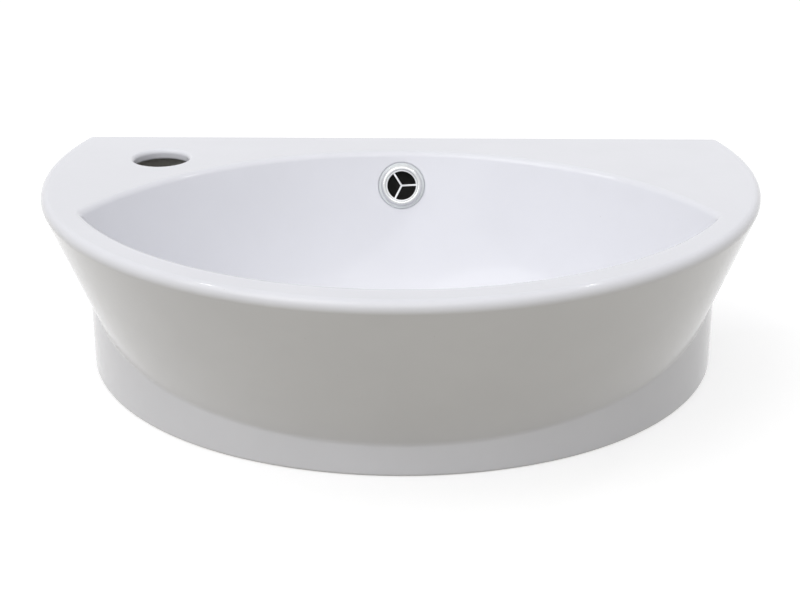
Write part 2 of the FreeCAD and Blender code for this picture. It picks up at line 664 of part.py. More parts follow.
def cut_holes(body):
    """Tap hole, wall fixings, waste hole with its recess, the duct and the overflow hole into it."""
    tap = sketch_on(body, "tap_plan", "XY_Plane", size("rim_height"))
    add_circle(tap, size("tap_radius"), -tap_side, -size("tap_back"))
    pocket(body, "tap_hole", tap, size("deck") + OVERRUN)
    recess = sketch_on(body, "tap_recess_plan", "XY_Plane", size("rim_height") - size("deck") - OVERRUN)
    add_circle(recess, size("tap_recess"), -tap_side, -size("tap_back"))
    depth = size("deck") + OVERRUN - size("tap_land")
    pocket(body, "tap_recess", recess, depth, reverse=True)

    fixing = sketch_on(body, "fixing_plan", "XZ_Plane")
    for side in (-1, 1):
        add_circle(fixing, size("fixing_radius"), size("fixing_span") * (side / 2), size("fixing_level"))
    pocket(body, "fixing_holes", fixing, size("back_wall") * 2, reverse=False, both_ways=True)

    for name, radius, depth in (
        ("waste_hole", size("waste_hole"), size("floor_height")),
        ("flange_recess", size("recess_radius"), size("recess_depth")),
    ):
        hole = sketch_on(body, f"{name}_plan", "XY_Plane", size("floor_height") + OVERRUN)
        add_circle(hole, radius, 0, -waste_ahead)
        pocket(body, name, hole, depth + OVERRUN)

    duct = sketch_on(body, "duct_side", "YZ_Plane")
    add_outline(duct, duct_outline(0))
    pocket(body, "duct", duct, size("duct_width"), both_ways=True)

    for name, radius, depth in (
        ("overflow_seat", size("overflow_spot"), size("overflow_seat")),
        ("overflow_hole", size("overflow_hole"), size("wall") + size("duct_gap")),
    ):
        spot = sketch_on(body, f"{name}_plan", "XY_Plane")
        turn = Rotation(Vector(1, 0, 0), 90 - overflow_lean.value)
        ahead = -overflow_ahead
        spot.AttachmentOffset = Placement(Vector(0, ahead.value, overflow_level.value), turn)
        spot.setExpression("AttachmentOffset.Base.y", ahead.text)
        spot.setExpression("AttachmentOffset.Base.z", overflow_level.text)
        spot.setExpression("AttachmentOffset.Rotation.Angle", (90 - overflow_lean).text)
        add_circle(spot, radius)
        cut = body.newObject("PartDesign::Pocket", name)
        cut.Profile = spot
        cut.SideType = "Two sides"
        cut.setExpression("Length", depth.text)
        cut.Length2 = 2 * OVERRUN
        checked(cut, name)


def basin_body():
    body = new_body("basin_body")
    shape_outside(body)
    hollow_underside(body)
    build_bowl(body)
    cut_holes(body)
    top = size("rim_height").value
    tap_place = Vector(-tap_side.value, -size("tap_back").value, top)

    def is_tap_mouth(edge):
        return at_level(edge, top) and (edge.BoundBox.Center - tap_place).Length < 0.5

    def is_opening(edge):
        """On the rim's level, inside the band round the bowl."""
        box = edge.BoundBox
        behind_front = box.YMin > 1 - size("rim_depth").value
        return at_level(edge, top) and behind_front and box.YMax < -15 and not is_tap_mouth(edge)

    fillet(body, "tap_round", size("tap_edge"), is_tap_mouth)
    fillet(body, "opening_round", size("bowl_edge"), is_opening)
    return place(body)


def overflow_collar():
    body = turned(
        "overflow_collar",
        [
            (size("ring_sleeve"), -size("collar_depth")),
            (size("collar_sleeve"), -size("collar_depth")),
            (size("collar_sleeve"), 0),
            (size("collar_flange"), 0),
            (size("collar_flange"), size("collar_lip") - size("flange_bevel")),
            (size("collar_flange") - size("flange_bevel"), size("collar_lip")),
            (size("ring_sleeve"), size("collar_lip")),
        ],
    )
    return place_overflow(body)


def overflow_ring():
    lip, step, slope = size("collar_lip"), size("ring_step"), size("ring_slope")
    half_slope = (size("ring_lip") - step) / 2
    body = turned(
        "overflow_ring",
        [
            (size("grille_radius"), -size("ring_depth")),
            (size("ring_sleeve"), -size("ring_depth")),
            (size("ring_sleeve"), lip),
            (size("ring_flange"), lip),
            (size("ring_flange"), lip + step),
            (size("ring_flange") - slope * 0.44, lip + step + half_slope),
            (size("ring_flange") - slope, lip + size("ring_lip")),
            (size("grille_radius") + size("flange_bevel"), lip + size("ring_lip")),
            (size("grille_radius"), lip + size("ring_lip") - size("flange_bevel")),
        ],
    )
    return place_overflow(body)


def overflow_grille():
    """A plain ring with three straight bars of one width from its middle."""
    top = size("collar_lip") + size("grille_rise")
    body = turned(
        "overflow_grille",
        [
            (size("grille_bore"), top - size("grille_depth")),
            (size("grille_radius"), top - size("grille_depth")),
            (size("grille_radius"), top),
            (size("grille_bore"), top),
        ],
    )
    turn = size("spoke_turn").value
    bar = sketch_on(body, "spoke_plan", "XY_Plane", top - size("spoke_drop"), turn=turn)
    half = size("spoke_width") / 2
    into_rim = (size("grille_radius") - size("grille_bore")) / 2
    add_box_outline(bar, (0, -half), (size("grille_bore") + into_rim, half))
    spoke = pad(body, "spoke", bar, size("spoke_depth"), reverse=True)
    pattern = body.newObject("PartDesign::PolarPattern", "spokes")
    pattern.Originals = [spoke]
    pattern.Axis = (bar, ["N_Axis"])
    pattern.Angle = 360.0
    pattern.Occurrences = 3
    body.Tip = pattern
    checked(pattern, "spokes")
    return place_overflow(body)


def place_overflow(body):
    """On the flat seat in the bowl's rear wall, facing forward and up."""
    lean = overflow_lean
    seat = size("overflow_seat")
    turn = Rotation(Vector(1, 0, 0), 90 - lean.value)
    outward = turn.multVec(Vector(0, 0, 1))
    level = overflow_level - size("fixing_level")
    body.Placement = Placement(Vector(0, -overflow_ahead.value, level.value) - outward * seat.value, turn)
    body.setExpression("Placement.Base.y", f"{seat.text} * cos({lean.text}) - {overflow_ahead.text}")
    body.setExpression("Placement.Base.z", f"{level.text} - {seat.text} * sin({lean.text})")
    body.setExpression("Placement.Rotation.Angle", (90 - lean).text)
    return body


def place_waste(body):
    return place(body, ahead=waste_ahead)


def waste_body():
    """Flange, cone for the plug, thick neck and slotted tail, with a three-armed bridge inside.

    The thread is plain over its crests, and plain at its middle where the nut grips it.
    """
    neck_low = flange_low - size("neck_length")
    bevel = size("waste_bevel")
    nut_top = size("boss_level") - size("washer_thick") - size("slip_thick")
    gripped_low = nut_top - size("nut_height") - size("nut_relief")
    gripped_radius = size("tail_radius") - size("thread_depth")
    body = turned(
        "waste_body",
        [
            (size("tail_bore"), -size("tail_end")),
            (size("tail_radius") - bevel, -size("tail_end")),
            (size("tail_radius"), bevel - size("tail_end")),
            (size("tail_radius"), gripped_low),
            (gripped_radius, gripped_low),
            (gripped_radius, nut_top),
            (size("tail_radius"), nut_top),
            (size("tail_radius"), neck_low - size("neck_cone")),
            (size("neck_radius"), neck_low),
            (size("neck_radius"), flange_low),
            (size("flange_radius") - bevel, flange_low),
            (size("flange_radius"), flange_low + bevel),
            (size("flange_radius"), flange_top - bevel),
            (size("flange_radius") - bevel, flange_top),
            (size("seat_radius"), flange_top),
            (size("tail_bore"), flange_top - size("seat_depth")),
        ],
    )
    arm = sketch_on(body, "arm_plan", "XY_Plane", size("bridge_level"), turn=30.0)
    half = size("arm_width") / 2
    into_tail = (size("tail_radius") - size("tail_bore")) / 2
    add_box_outline(arm, (0, -half), (size("tail_bore") + into_tail, half))
    one = pad(body, "arm", arm, size("bridge_height"))
    pattern = body.newObject("PartDesign::PolarPattern", "arms")
    pattern.Originals = [one]
    pattern.Axis = (arm, ["N_Axis"])
    pattern.Angle = 360.0
    pattern.Occurrences = 3
    body.Tip = pattern
    checked(pattern, "arms")
    hub = sketch_on(body, "hub_plan", "XY_Plane", size("bridge_level"))
    add_circle(hub, size("hub_radius"))
    pad(body, "hub", hub, size("bridge_height"))
    bore = sketch_on(body, "hub_bore_plan", "XY_Plane", bridge_top)
    add_circle(bore, size("barrel_radius"))
    pocket(body, "hub_bore", bore, size("bridge_height"))
    slot = sketch_on(body, "slot_side", "XZ_Plane")
    half_slot = size("slot_width") / 2
    add_box_outline(slot, (-half_slot, size("slot_low")), (half_slot, size("slot_high")))
    pocket(body, "slots", slot, size("tail_radius") * 2 + OVERRUN, both_ways=True)
    return place_waste(body)


def flange_seal():
    body = turned(
        "flange_seal",
        [
            (size("neck_radius"), recess_level),
            (size("flange_radius") - size("waste_bevel"), recess_level),
            (size("flange_radius") - size("waste_bevel"), flange_low),
            (size("neck_radius"), flange_low),
        ],
    )
    return place_waste(body)


def tail_washer():
    """A thick rubber ring whose upper part tapers into the hole."""
    top = size("boss_level")
    low = top - size("washer_thick")
    reach = size("waste_hole") - size("spigot_gap")
    body = turned(
        "tail_washer",
        [
            (size("tail_radius"), low),
            (size("washer_radius"), low),
            (size("washer_radius"), top),
            (reach, top),
            (reach - size("spigot_taper"), top + size("washer_spigot")),
            (size("tail_radius"), top + size("washer_spigot")),
        ],
    )
    return place_waste(body)


def slip_washer():
    top = size("boss_level") - size("washer_thick")
    low = top - size("slip_thick")
    body = turned(
        "slip_washer",
        [
            (size("tail_radius"), low),
            (size("slip_radius"), low),
            (size("slip_radius"), top),
            (size("tail_radius"), top),
        ],
    )
    return place_waste(body)


def backnut():
    """A six-sided nut with its corners turned off above and below."""
    top = size("boss_level") - size("washer_thick") - size("slip_thick")
    low = top - size("nut_height")
    body = new_body("backnut")
    plan = sketch_on(body, "nut_plan", "XY_Plane", low)
    across = size("nut_flats")
    reach = across.value / 3**0.5
    corner = Vector(reach, 0, 0)
    spots = [Rotation(Vector(0, 0, 1), 60 * n).multVec(corner) for n in range(6)]
    for n in range(6):
        plan.addGeometry(Part.LineSegment(spots[n], spots[(n + 1) % 6]))
    for n in range(6):
        plan.addConstraint(Sketcher.Constraint("Coincident", n, 2, (n + 1) % 6, 1))
    guide = plan.addGeometry(Part.Circle(Vector(0, 0, 0), Vector(0, 0, 1), reach), True)
    plan.addConstraint(Sketcher.Constraint("Coincident", guide, 3, -1, 1))
    for n in range(6):
        plan.addConstraint(Sketcher.Constraint("PointOnObject", n, 1, guide))
    for n in range(1, 6):
        plan.addConstraint(Sketcher.Constraint("Equal", 0, n))
    plan.addConstraint(Sketcher.Constraint("PointOnObject", 0, 1, -1))
    bind(plan, Sketcher.Constraint("Radius", guide, reach), Size(reach, f"({across.text} / sqrt(3))"))
    pad(body, "nut_block", plan, size("nut_height"))
    bore = sketch_on(body, "nut_bore_plan", "XY_Plane", top)
    add_circle(bore, size("tail_radius") - size("thread_depth"))
    pocket(body, "nut_bore", bore, size("nut_height"))
    trim = sketch_on(body, "nut_trim", "XZ_Plane")
    edge = size("nut_face")
    out = edge + size("nut_corner") * 1.7
    deep = size("nut_corner")
    above, below = top + OVERRUN, low - OVERRUN
    add_outline(trim, [(edge, top), (out, top - deep), (out, above), (edge, above)])
    add_outline(trim, [(edge, low), (edge, below), (out, below), (out, low + deep)])
    revolve(body, "PartDesign::Groove", "nut_corners", trim)
    return place_waste(body)


def plug_cap():
    """A shallow dome with a boss for the rod and a ring that carries the seal."""
    boss_low = plug_low - size("plug_boss_length")
    rib_inner = size("rib_radius") - size("rib_thick")
    reach = size("plug_radius")
    edge_top = plug_low + size("plug_edge")
    body = new_body("plug_cap")
    sketch = sketch_on(body, "plug_cap_profile", "XZ_Plane")
    profile = [
        (size("rod_radius"), boss_low),
        (size("plug_boss"), boss_low),
        (size("plug_boss"), plug_low),
        (rib_inner, plug_low),
        (rib_inner, plug_low - size("rib_length")),
        (size("rib_radius"), plug_low - size("rib_length")),
        (size("rib_radius"), plug_low),
        (reach - size("plug_bevel"), plug_low),
        (reach, plug_low + size("plug_bevel")),
        (reach, edge_top),
    ]
    ends = [(0, rod_top), (size("rod_radius"), rod_top)]
    dome = size("plug_dome").value
    rim_point = Vector(reach.value, edge_top.value, 0)
    dome_centre = edge_top.value - (dome**2 - reach.value**2) ** 0.5
    crown = Vector(0, dome_centre + dome, 0)
    spots = [Vector(as_size(a).value, as_size(b).value, 0) for a, b in profile]
    closing = [Vector(as_size(a).value, as_size(b).value, 0) for a, b in ends]
    for start, stop in zip(spots, spots[1:]):
        sketch.addGeometry(Part.LineSegment(start, stop))
    count = len(profile) - 1
    for index, (across, up) in enumerate(profile[:-1]):
        hold_point(sketch, index, 1, across, up)
    hold_point(sketch, count - 1, 2, *profile[-1])
    for index in range(count - 1):
        sketch.addConstraint(Sketcher.Constraint("Coincident", index, 2, index + 1, 1))
    # The dome's arc has its centre on the axis.
    middle_x = reach.value / 2
    middle = Vector(middle_x, dome_centre + (dome**2 - middle_x**2) ** 0.5, 0)
    arc = sketch.addGeometry(Part.Arc(rim_point, middle, crown))
    sketch.addGeometry(Part.LineSegment(crown, closing[0]))
    sketch.addGeometry(Part.LineSegment(closing[0], closing[1]))
    sketch.addGeometry(Part.LineSegment(closing[1], spots[0]))
    sketch.addConstraint(Sketcher.Constraint("Coincident", count - 1, 2, arc, 1))
    sketch.addConstraint(Sketcher.Constraint("Coincident", arc, 2, arc + 1, 1))
    sketch.addConstraint(Sketcher.Constraint("Coincident", arc + 1, 2, arc + 2, 1))
    sketch.addConstraint(Sketcher.Constraint("Coincident", arc + 2, 2, arc + 3, 1))
    sketch.addConstraint(Sketcher.Constraint("Coincident", arc + 3, 2, 0, 1))
    sketch.addConstraint(Sketcher.Constraint("PointOnObject", arc, 3, -2))
    sketch.addConstraint(Sketcher.Constraint("PointOnObject", arc, 2, -2))
    bind(sketch, Sketcher.Constraint("Radius", arc, dome), size("plug_dome"))
    hold_point(sketch, arc + 2, 1, *ends[0])
    hold_point(sketch, arc + 3, 1, *ends[1])
    revolve(body, "PartDesign::Revolution", "plug_cap_turned", sketch)
    return place_waste(body)


def plug_seal():
    low = plug_low - size("seal_length")
    cone_top = plug_low - size("seal_edge")
    body = turned(
        "plug_seal",
        [
            (size("rib_radius"), low),
            (size("rib_radius") + size("seal_thin"), low),
            (size("seal_radius"), cone_top),
            (size("seal_radius"), plug_low),
            (size("rib_radius"), plug_low),
        ],
    )
    return place_waste(body)


def plunger():
    """The rod under the plug: a guide collar, a stub inside the spring and a slanted track for the pin."""
    collar_low = collar_top - size("collar_height")
    stub_low = collar_low - size("stub_length")
    body = turned(
        "plunger",
        [
            (0, stub_low),
            (size("stub_radius"), stub_low),
            (size("stub_radius"), collar_low),
            (size("collar_radius"), collar_low),
            (size("collar_radius"), collar_top),
            (size("rod_radius"), collar_top),
            (size("rod_radius"), rod_top),
            (0, rod_top),
        ],
    )
    track = sketch_on(body, "track_side", "YZ_Plane", size("track_floor"))
    half = size("track_width") / 2
    margin = size("track_margin")
    drift = size("track_drift")
    low = ring_middle - margin
    high = ring_middle + size("plug_travel") + margin
    low_shift = drift * margin * -1
    high_shift = drift * (size("plug_travel") + margin)
    add_outline(
        track,
        [
            (low_shift - half, low),
            (low_shift + half, low),
            (high_shift + half, high),
            (high_shift - half, high),
        ],
    )
    pocket(body, "track", track, size("rod_radius"), reverse=True)
    return place_waste(body)


def latch_barrel():
    """The barrel in the bridge's hub: a bore for the spring, a web that guides the rod, the ring's seat."""
    low = -size("barrel_low")
    body = turned(
        "latch_barrel",
        [
            (size("barrel_bore"), low),
            (size("barrel_radius"), low),
            (size("barrel_radius"), bridge_top),
            (size("head_radius"), bridge_top),
            (size("head_radius"), head_top - size("head_bevel")),
            (size("head_radius") - size("head_bevel"), head_top),
            (size("ring_seat_radius"), head_top),
            (size("ring_seat_radius"), web_top),
            (size("rod_bore"), web_top),
            (size("rod_bore"), size("web_low")),
            (size("barrel_bore"), size("web_low")),
        ],
    )
    return place_waste(body)


def barrel_bush():
    body = turned(
        "barrel_bush",
        [
            (size("rod_bore"), bush_low),
            (size("ring_seat_radius"), bush_low),
            (size("ring_seat_radius"), bush_low + size("bush_height")),
            (size("rod_bore"), bush_low + size("bush_height")),
        ],
    )
    return place_waste(body)


def barrel_end():
    low = -size("barrel_low")
    high = low + size("end_height")
    body = turned(
        "barrel_end",
        [(0, low), (size("barrel_bore"), low), (size("barrel_bore"), high), (0, high)],
    )
    return place_waste(body)


def latch_ring():
    body = turned(
        "latch_ring",
        [
            (size("ring_bore"), ring_low),
            (ring_radius, ring_low),
            (ring_radius, ring_top),
            (size("ring_bore"), ring_top),
        ],
    )
    hole = sketch_on(body, "pin_hole_side", "YZ_Plane")
    add_circle(hole, size("pin_radius"), 0, ring_middle)
    pocket(body, "pin_hole", hole, size("ring_seat_radius") + OVERRUN, reverse=True)
    return place_waste(body)


def latch_pin():
    body = new_body("latch_pin")
    end = sketch_on(body, "pin_end", "YZ_Plane", size("pin_tip"))
    add_circle(end, size("pin_radius"), 0, ring_middle)
    pad(body, "pin", end, ring_radius - size("pin_inset") - size("pin_tip"))
    return place_waste(body)


def plug_spring():
    """A round-wire spring between the barrel's end screw and the plunger's collar."""
    low = -size("barrel_low") + size("end_height")
    high = collar_top - size("collar_height")
    wire = size("spring_wire")
    body = new_body("plug_spring")
    end = sketch_on(body, "wire_end", "XZ_Plane")
    add_circle(end, wire / 2, size("spring_radius"), low + wire / 2)
    helix = body.newObject("PartDesign::AdditiveHelix", "coil")
    helix.Profile = end
    helix.ReferenceAxis = (end, ["V_Axis"])
    helix.Mode = "height-turns-angle"
    height = high - low - wire
    helix.setExpression("Height", height.text)
    helix.setExpression("Turns", size("spring_turns").text)
    helix.Angle = 0.0
    checked(helix, "coil")
    return place_waste(body)


PIECES = (
    basin_body,
    overflow_collar,
    overflow_ring,
    overflow_grille,
    waste_body,
    flange_seal,
    tail_washer,
    slip_washer,
    backnut,
    plug_cap,
    plug_seal,
    plunger,
    latch_barrel,
    barrel_bush,
    barrel_end,
    latch_ring,
    latch_pin,
    plug_spring,
)

bodies = [piece() for piece in PIECES]
doc.recompute()

for item in doc.Objects:
    if "Invalid" in item.State or "Error" in item.State:
        raise RuntimeError(f"{item.Label} is in state {item.State}")
for body in bodies:
    if body.Shape.isNull() or not body.Shape.isValid():
        raise RuntimeError(f"{body.Label} has no valid shape")

os.makedirs("parts", exist_ok=True)
for body in bodies:
    body.Shape.exportStep(f"parts/{body.Label}.step")
    print(f"{body.Label}: {body.Shape.Volume / 1000:.2f} cm3, {len(body.Shape.Solids)} solid")
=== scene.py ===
"""Semi recessed basin: the glazed casting, its overflow cover, its slotted waste and the push-to-close plug.

Shapes are worked out in millimetres. Levels are counted up from the underside of the foot ring, x runs to the right
and y out of the flat back into the wall, so the bowl lies at negative y. Each mesh is written in metres in the CAD
model's frame, whose origin is on the back between the two wall-fixing holes.
"""

import json
import math

import bmesh
import bpy
import numpy as np
from bpy.props import FloatProperty, FloatVectorProperty, PointerProperty
from mathutils import Matrix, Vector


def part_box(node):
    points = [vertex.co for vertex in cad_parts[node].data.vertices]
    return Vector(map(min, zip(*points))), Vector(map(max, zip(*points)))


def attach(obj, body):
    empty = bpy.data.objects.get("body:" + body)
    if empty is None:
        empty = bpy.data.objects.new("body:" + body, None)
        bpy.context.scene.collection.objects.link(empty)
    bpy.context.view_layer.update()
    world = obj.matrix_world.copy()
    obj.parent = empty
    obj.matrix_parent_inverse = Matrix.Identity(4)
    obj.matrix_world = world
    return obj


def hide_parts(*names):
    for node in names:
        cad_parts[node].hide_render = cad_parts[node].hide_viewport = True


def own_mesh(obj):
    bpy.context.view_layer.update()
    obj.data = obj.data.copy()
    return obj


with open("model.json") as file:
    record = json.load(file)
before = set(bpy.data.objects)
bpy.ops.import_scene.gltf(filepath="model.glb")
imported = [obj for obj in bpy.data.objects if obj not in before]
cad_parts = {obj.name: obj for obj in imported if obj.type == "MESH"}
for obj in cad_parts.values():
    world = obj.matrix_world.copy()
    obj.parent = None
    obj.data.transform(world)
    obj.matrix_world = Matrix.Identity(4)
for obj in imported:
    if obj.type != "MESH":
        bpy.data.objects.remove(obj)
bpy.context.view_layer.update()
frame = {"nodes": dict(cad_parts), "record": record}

bl_info = {
    "name": "Semi recessed basin",
    "version": (1, 0, 0),
    "blender": (4, 5, 0),
    "location": "View3D > Sidebar > Basin",
    "description": "Builds a round-fronted basin with its overflow cover and push-to-close waste",
    "category": "Add Mesh",
}

MM = 0.001
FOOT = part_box("basin_body")[0].z / MM
RIM_LOW, RIM_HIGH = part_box("basin_body")
WASTE_AHEAD = 142.0
LENGTH = dict(unit="LENGTH", subtype="DISTANCE", precision=4)
COLOUR = dict(subtype="COLOR", min=0, max=1)


# ---------------------------------------------------------------- sizes, colours and light that a user would change


class BasinSizes(bpy.types.PropertyGroup):
    """Sizes of the casting."""

    rim_width: FloatProperty(
        name="Rim width", description="Rim, side to side", default=RIM_HIGH.x - RIM_LOW.x, **LENGTH
    )
    rim_depth: FloatProperty(
        name="Rim depth", description="Flat back to the front of the rim", default=-RIM_LOW.y, **LENGTH
    )
    rim_height: FloatProperty(
        name="Rim height", description="Foot to the top of the rim", default=RIM_HIGH.z - RIM_LOW.z, **LENGTH
    )
    bowl_depth: FloatProperty(
        name="Bowl depth", description="Top of the rim to the floor of the bowl", default=0.098, **LENGTH
    )
    rim_round: FloatProperty(name="Rim rounding", description="Outer edge of the rim", default=0.005, **LENGTH)
    lip_round: FloatProperty(
        name="Bowl edge rounding", description="Edge of the bowl's opening", default=0.005, **LENGTH
    )
    junction_round: FloatProperty(
        name="Junction rounding", description="Hollow corner between taper and foot ring", default=0.009, **LENGTH
    )
    foot_round: FloatProperty(
        name="Foot rounding", description="Lower edge of the foot ring", default=0.002, **LENGTH
    )
    tap_radius: FloatProperty(
        name="Tap hole radius", description="Hole for the tap's shank", default=0.0175, **LENGTH
    )


class BasinFinish(bpy.types.PropertyGroup):
    """Colours of the finishes."""

    glaze: FloatVectorProperty(name="Glaze", description="Glazed ceramic", default=(0.855, 0.86, 0.905), **COLOUR)
    bare: FloatVectorProperty(
        name="Bare ceramic", description="Unglazed underside", default=(0.70, 0.68, 0.63), **COLOUR
    )
    milky: FloatVectorProperty(
        name="Milky plastic", description="Collar of the overflow", default=(0.80, 0.83, 0.84), **COLOUR
    )
    chrome: FloatVectorProperty(name="Chrome", description="Plated metal", default=(0.78, 0.79, 0.80), **COLOUR)
    satin: FloatVectorProperty(
        name="Satin metal", description="Grille of the overflow", default=(0.80, 0.81, 0.82), **COLOUR
    )
    brass: FloatVectorProperty(name="Brass", description="Nut, rod and barrel", default=(0.72, 0.53, 0.27), **COLOUR)
    rubber: FloatVectorProperty(name="Rubber", description="Seals and washers", default=(0.035, 0.035, 0.038), **COLOUR)


class BasinStudio(bpy.types.PropertyGroup):
    """Strength of the studio's lights."""

    key: FloatProperty(name="Key light", description="Wide light from the upper left", default=0.56, min=0)
    front: FloatProperty(name="Front light", description="Wide light from the front", default=0.66, min=0)
    fill: FloatProperty(name="Fill light", description="Wide light from high on the right", default=0.32, min=0)
    spark: FloatProperty(name="Glints", description="Two small lights for glints", default=0.4, unit="POWER", min=0)
    ambient: FloatProperty(name="Ambient", description="Even light from all round", default=0.45, min=0, max=1)


def sizes():
    """The casting's sizes in millimetres."""
    group = bpy.context.scene.basin_sizes
    return {name: getattr(group, name) / MM for name in BasinSizes.__annotations__}


# ---------------------------------------------------------------- meshes


def ring_faces(rows, columns):
    """Four-sided faces between the neighbouring rows of a grid whose columns close on themselves."""
    row, column = np.meshgrid(np.arange(rows - 1), np.arange(columns), indexing="ij")
    here = row * columns + column
    beside = row * columns + (column + 1) % columns
    return np.stack([here, beside, beside + columns, here + columns], axis=-1).reshape(-1, 4).tolist()


def add_mesh(name, points, faces):
    """An object from points in millimetres, with doubles merged and the faces turned outwards."""
    mesh = bpy.data.meshes.new(name)
    mesh.from_pydata((np.asarray(points).reshape(-1, 3) * MM).tolist(), [], faces)
    work = bmesh.new()
    work.from_mesh(mesh)
    bmesh.ops.remove_doubles(work, verts=work.verts, dist=0.0005 * MM)
    bmesh.ops.dissolve_degenerate(work, edges=work.edges, dist=0.0002 * MM)
    bmesh.ops.recalc_face_normals(work, faces=work.faces)
    work.to_mesh(mesh)
    work.free()
    thing = bpy.data.objects.new(name, mesh)
    bpy.context.collection.objects.link(thing)
    return thing


def stack(name, rows, closed=False):
    """A solid from rings of points laid one above another. Both ends are closed flat, or the last joins the first."""
    rows = np.asarray(rows)
    count, columns = rows.shape[:2]
    faces = ring_faces(count, columns)
    if closed:
        last = (count - 1) * columns
        around = np.arange(columns)
        after = (around + 1) % columns
        faces += np.stack([last + around, last + after, after, around], axis=-1).tolist()
    else:
        faces += [list(range(columns)), list(range((count - 1) * columns, count * columns))]
    return add_mesh(name, rows, faces)


def carve(target, operation, tools):
    """Cuts the tools out of the target, or joins them to it, and keeps the plain mesh that comes out."""
    for tool in tools:
        step = target.modifiers.new(tool.name, "BOOLEAN")
        step.operation = operation
        step.solver = "EXACT"
        step.object = tool
        target = settled(target)
        bpy.data.objects.remove(tool)
    return target


def volume(thing):
    """Volume of an object's mesh, in cubic metres."""
    work = bmesh.new()
    work.from_mesh(thing.data)
    amount = work.calc_volume()
    work.free()
    return amount


def settled(thing):
    """Applies an object's modifiers to its mesh."""
    bpy.context.view_layer.update()
    graph = bpy.context.evaluated_depsgraph_get()
    mesh = bpy.data.meshes.new_from_object(thing.evaluated_get(graph))
    thing.modifiers.clear()
    old = thing.data
    thing.data = mesh
    mesh.name = thing.name
    bpy.data.meshes.remove(old)
    return thing


def placed(thing, node, crease=40.0):
    """Moves a piece into the CAD model's frame and lets it stand for a CAD node, with its finish and on its body.

    Its shading is smooth, stays level on flat faces and breaks at edges sharper than crease degrees.
    """
    body = BODY_OF[node]
    mesh = on_foot(thing).data
    mesh.polygons.foreach_set("use_smooth", [True] * len(mesh.polygons))
    mesh.set_sharp_from_angle(angle=math.radians(crease))
    step = thing.modifiers.new("level_shading", "WEIGHTED_NORMAL")
    step.mode = "FACE_AREA"
    step.keep_sharp = True
    settled(thing)
    thing.data.materials.clear()
    thing.data.materials.append(finish(SLOTS[node]))
    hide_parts(node)
    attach(thing, body)
    return thing


SLOTS = {part["node"]: part["material_slot"] for part in frame["record"]["subparts"]}
BODY_OF = {node: body for body, nodes in frame["record"]["behaviour"]["bodies"].items() for node in nodes}


# ---------------------------------------------------------------- shader maths


class Value:
    """One output of a node. Arithmetic on it adds the Math nodes that work it out."""

    def __init__(self, recipe, socket):
        self.recipe = recipe
        self.socket = socket

    def maths(self, operation, *values):
        """Adds one Math node to the recipe, whatever value this is called on."""
        inputs = dict(enumerate(values))
        return self.recipe.node("ShaderNodeMath", {"operation": operation}, inputs)[0]

    def __add__(self, other):
        return self.maths("ADD", self, other)

    def __rsub__(self, other):
        return self.maths("SUBTRACT", other, self)

    def __mul__(self, other):
        return self.maths("MULTIPLY", self, other)

    def __lt__(self, other):
        return self.maths("LESS_THAN", self, other)

    __radd__ = __add__
    __rmul__ = __mul__


class Recipe:
    """A material under construction: adds nodes and links them to its shader."""

    def __init__(self, name, **constants):
        self.material = bpy.data.materials.new(name)
        self.material.use_nodes = True
        self.tree = self.material.node_tree
        self.shader = next(n for n in self.tree.nodes if n.type == "BSDF_PRINCIPLED")
        self.feed(**constants)
        self.place = self.node("ShaderNodeTexCoord")["Object"]

    def node(self, kind, settings=None, inputs=None):
        """Adds a node: its settings, then its sockets' values or links. Returns its outputs by name and number."""
        node = self.tree.nodes.new(kind)
        for key, value in (settings or {}).items():
            setattr(node, key, value)
        for key, value in (inputs or {}).items():
            self.put(node.inputs[key], value)
        made = dict(enumerate(Value(self, socket) for socket in node.outputs))
        return {**{socket.name: made[number] for number, socket in enumerate(node.outputs)}, **made}

    def put(self, socket, value):
        """Links a value to a socket, or sets the socket to a constant."""
        if isinstance(value, Value):
            self.tree.links.new(value.socket, socket)
        else:
            socket.default_value = value

    def feed(self, **sockets):
        """Sets or links the shader's sockets, named with underscores for spaces."""
        for key, value in sockets.items():
            if isinstance(value, (tuple, list)) and len(value) == 3:
                value = (*value, 1.0)
            self.put(self.shader.inputs[key.replace("_", " ")], value)

    def blend(self, factor, first, second):
        """Mixes two colours."""
        first, second = [(*c, 1.0) if isinstance(c, tuple) and len(c) == 3 else c for c in (first, second)]
        inputs = {"Factor": factor, 6: first, 7: second}
        return self.node("ShaderNodeMix", {"data_type": "RGBA"}, inputs)[2]

    def noise(self, scale, detail=2.0, rough=0.5, place=None):
        """Cloudy noise from 0 to 1, in object coordinates unless another place is given."""
        inputs = {"Vector": place or self.place, "Scale": scale, "Detail": detail, "Roughness": rough}
        return self.node("ShaderNodeTexNoise", None, inputs)[0]

    def cells(self, scale):
        """Distance to the nearest of many scattered points, and that point's own random colour."""
        made = self.node("ShaderNodeTexVoronoi", None, {"Vector": self.place, "Scale": scale})
        return made["Distance"], made["Color"]

    def shade(self, value, low, high, base, factor):
        """A colour that runs to a lighter or darker tint of base as value goes from low to high."""
        return self.blend(self.ramp(value, low, high), base, tinted(base, factor))

    def ramp(self, value, low, high):
        """Runs from 0 to 1 smoothly as value goes from low to high."""
        inputs = {"Value": value, "From Min": low, "From Max": high}
        return self.node("ShaderNodeMapRange", {"interpolation_type": "SMOOTHSTEP"}, inputs)[0]

    def bump(self, height, strength, distance, normal=None):
        """A normal tilted by the slope of a height, on top of another bump where one is given."""
        inputs = {"Height": height, "Strength": strength, "Distance": distance}
        if normal is not None:
            inputs["Normal"] = normal
        return self.node("ShaderNodeBump", None, inputs)[0]


def colour(name):
    """A colour that the user set."""
    return tuple(getattr(bpy.context.scene.basin_finish, name))


def tinted(base, factor):
    """A colour made lighter or darker by a factor."""
    return tuple(min(1.0, channel * factor) for channel in base)


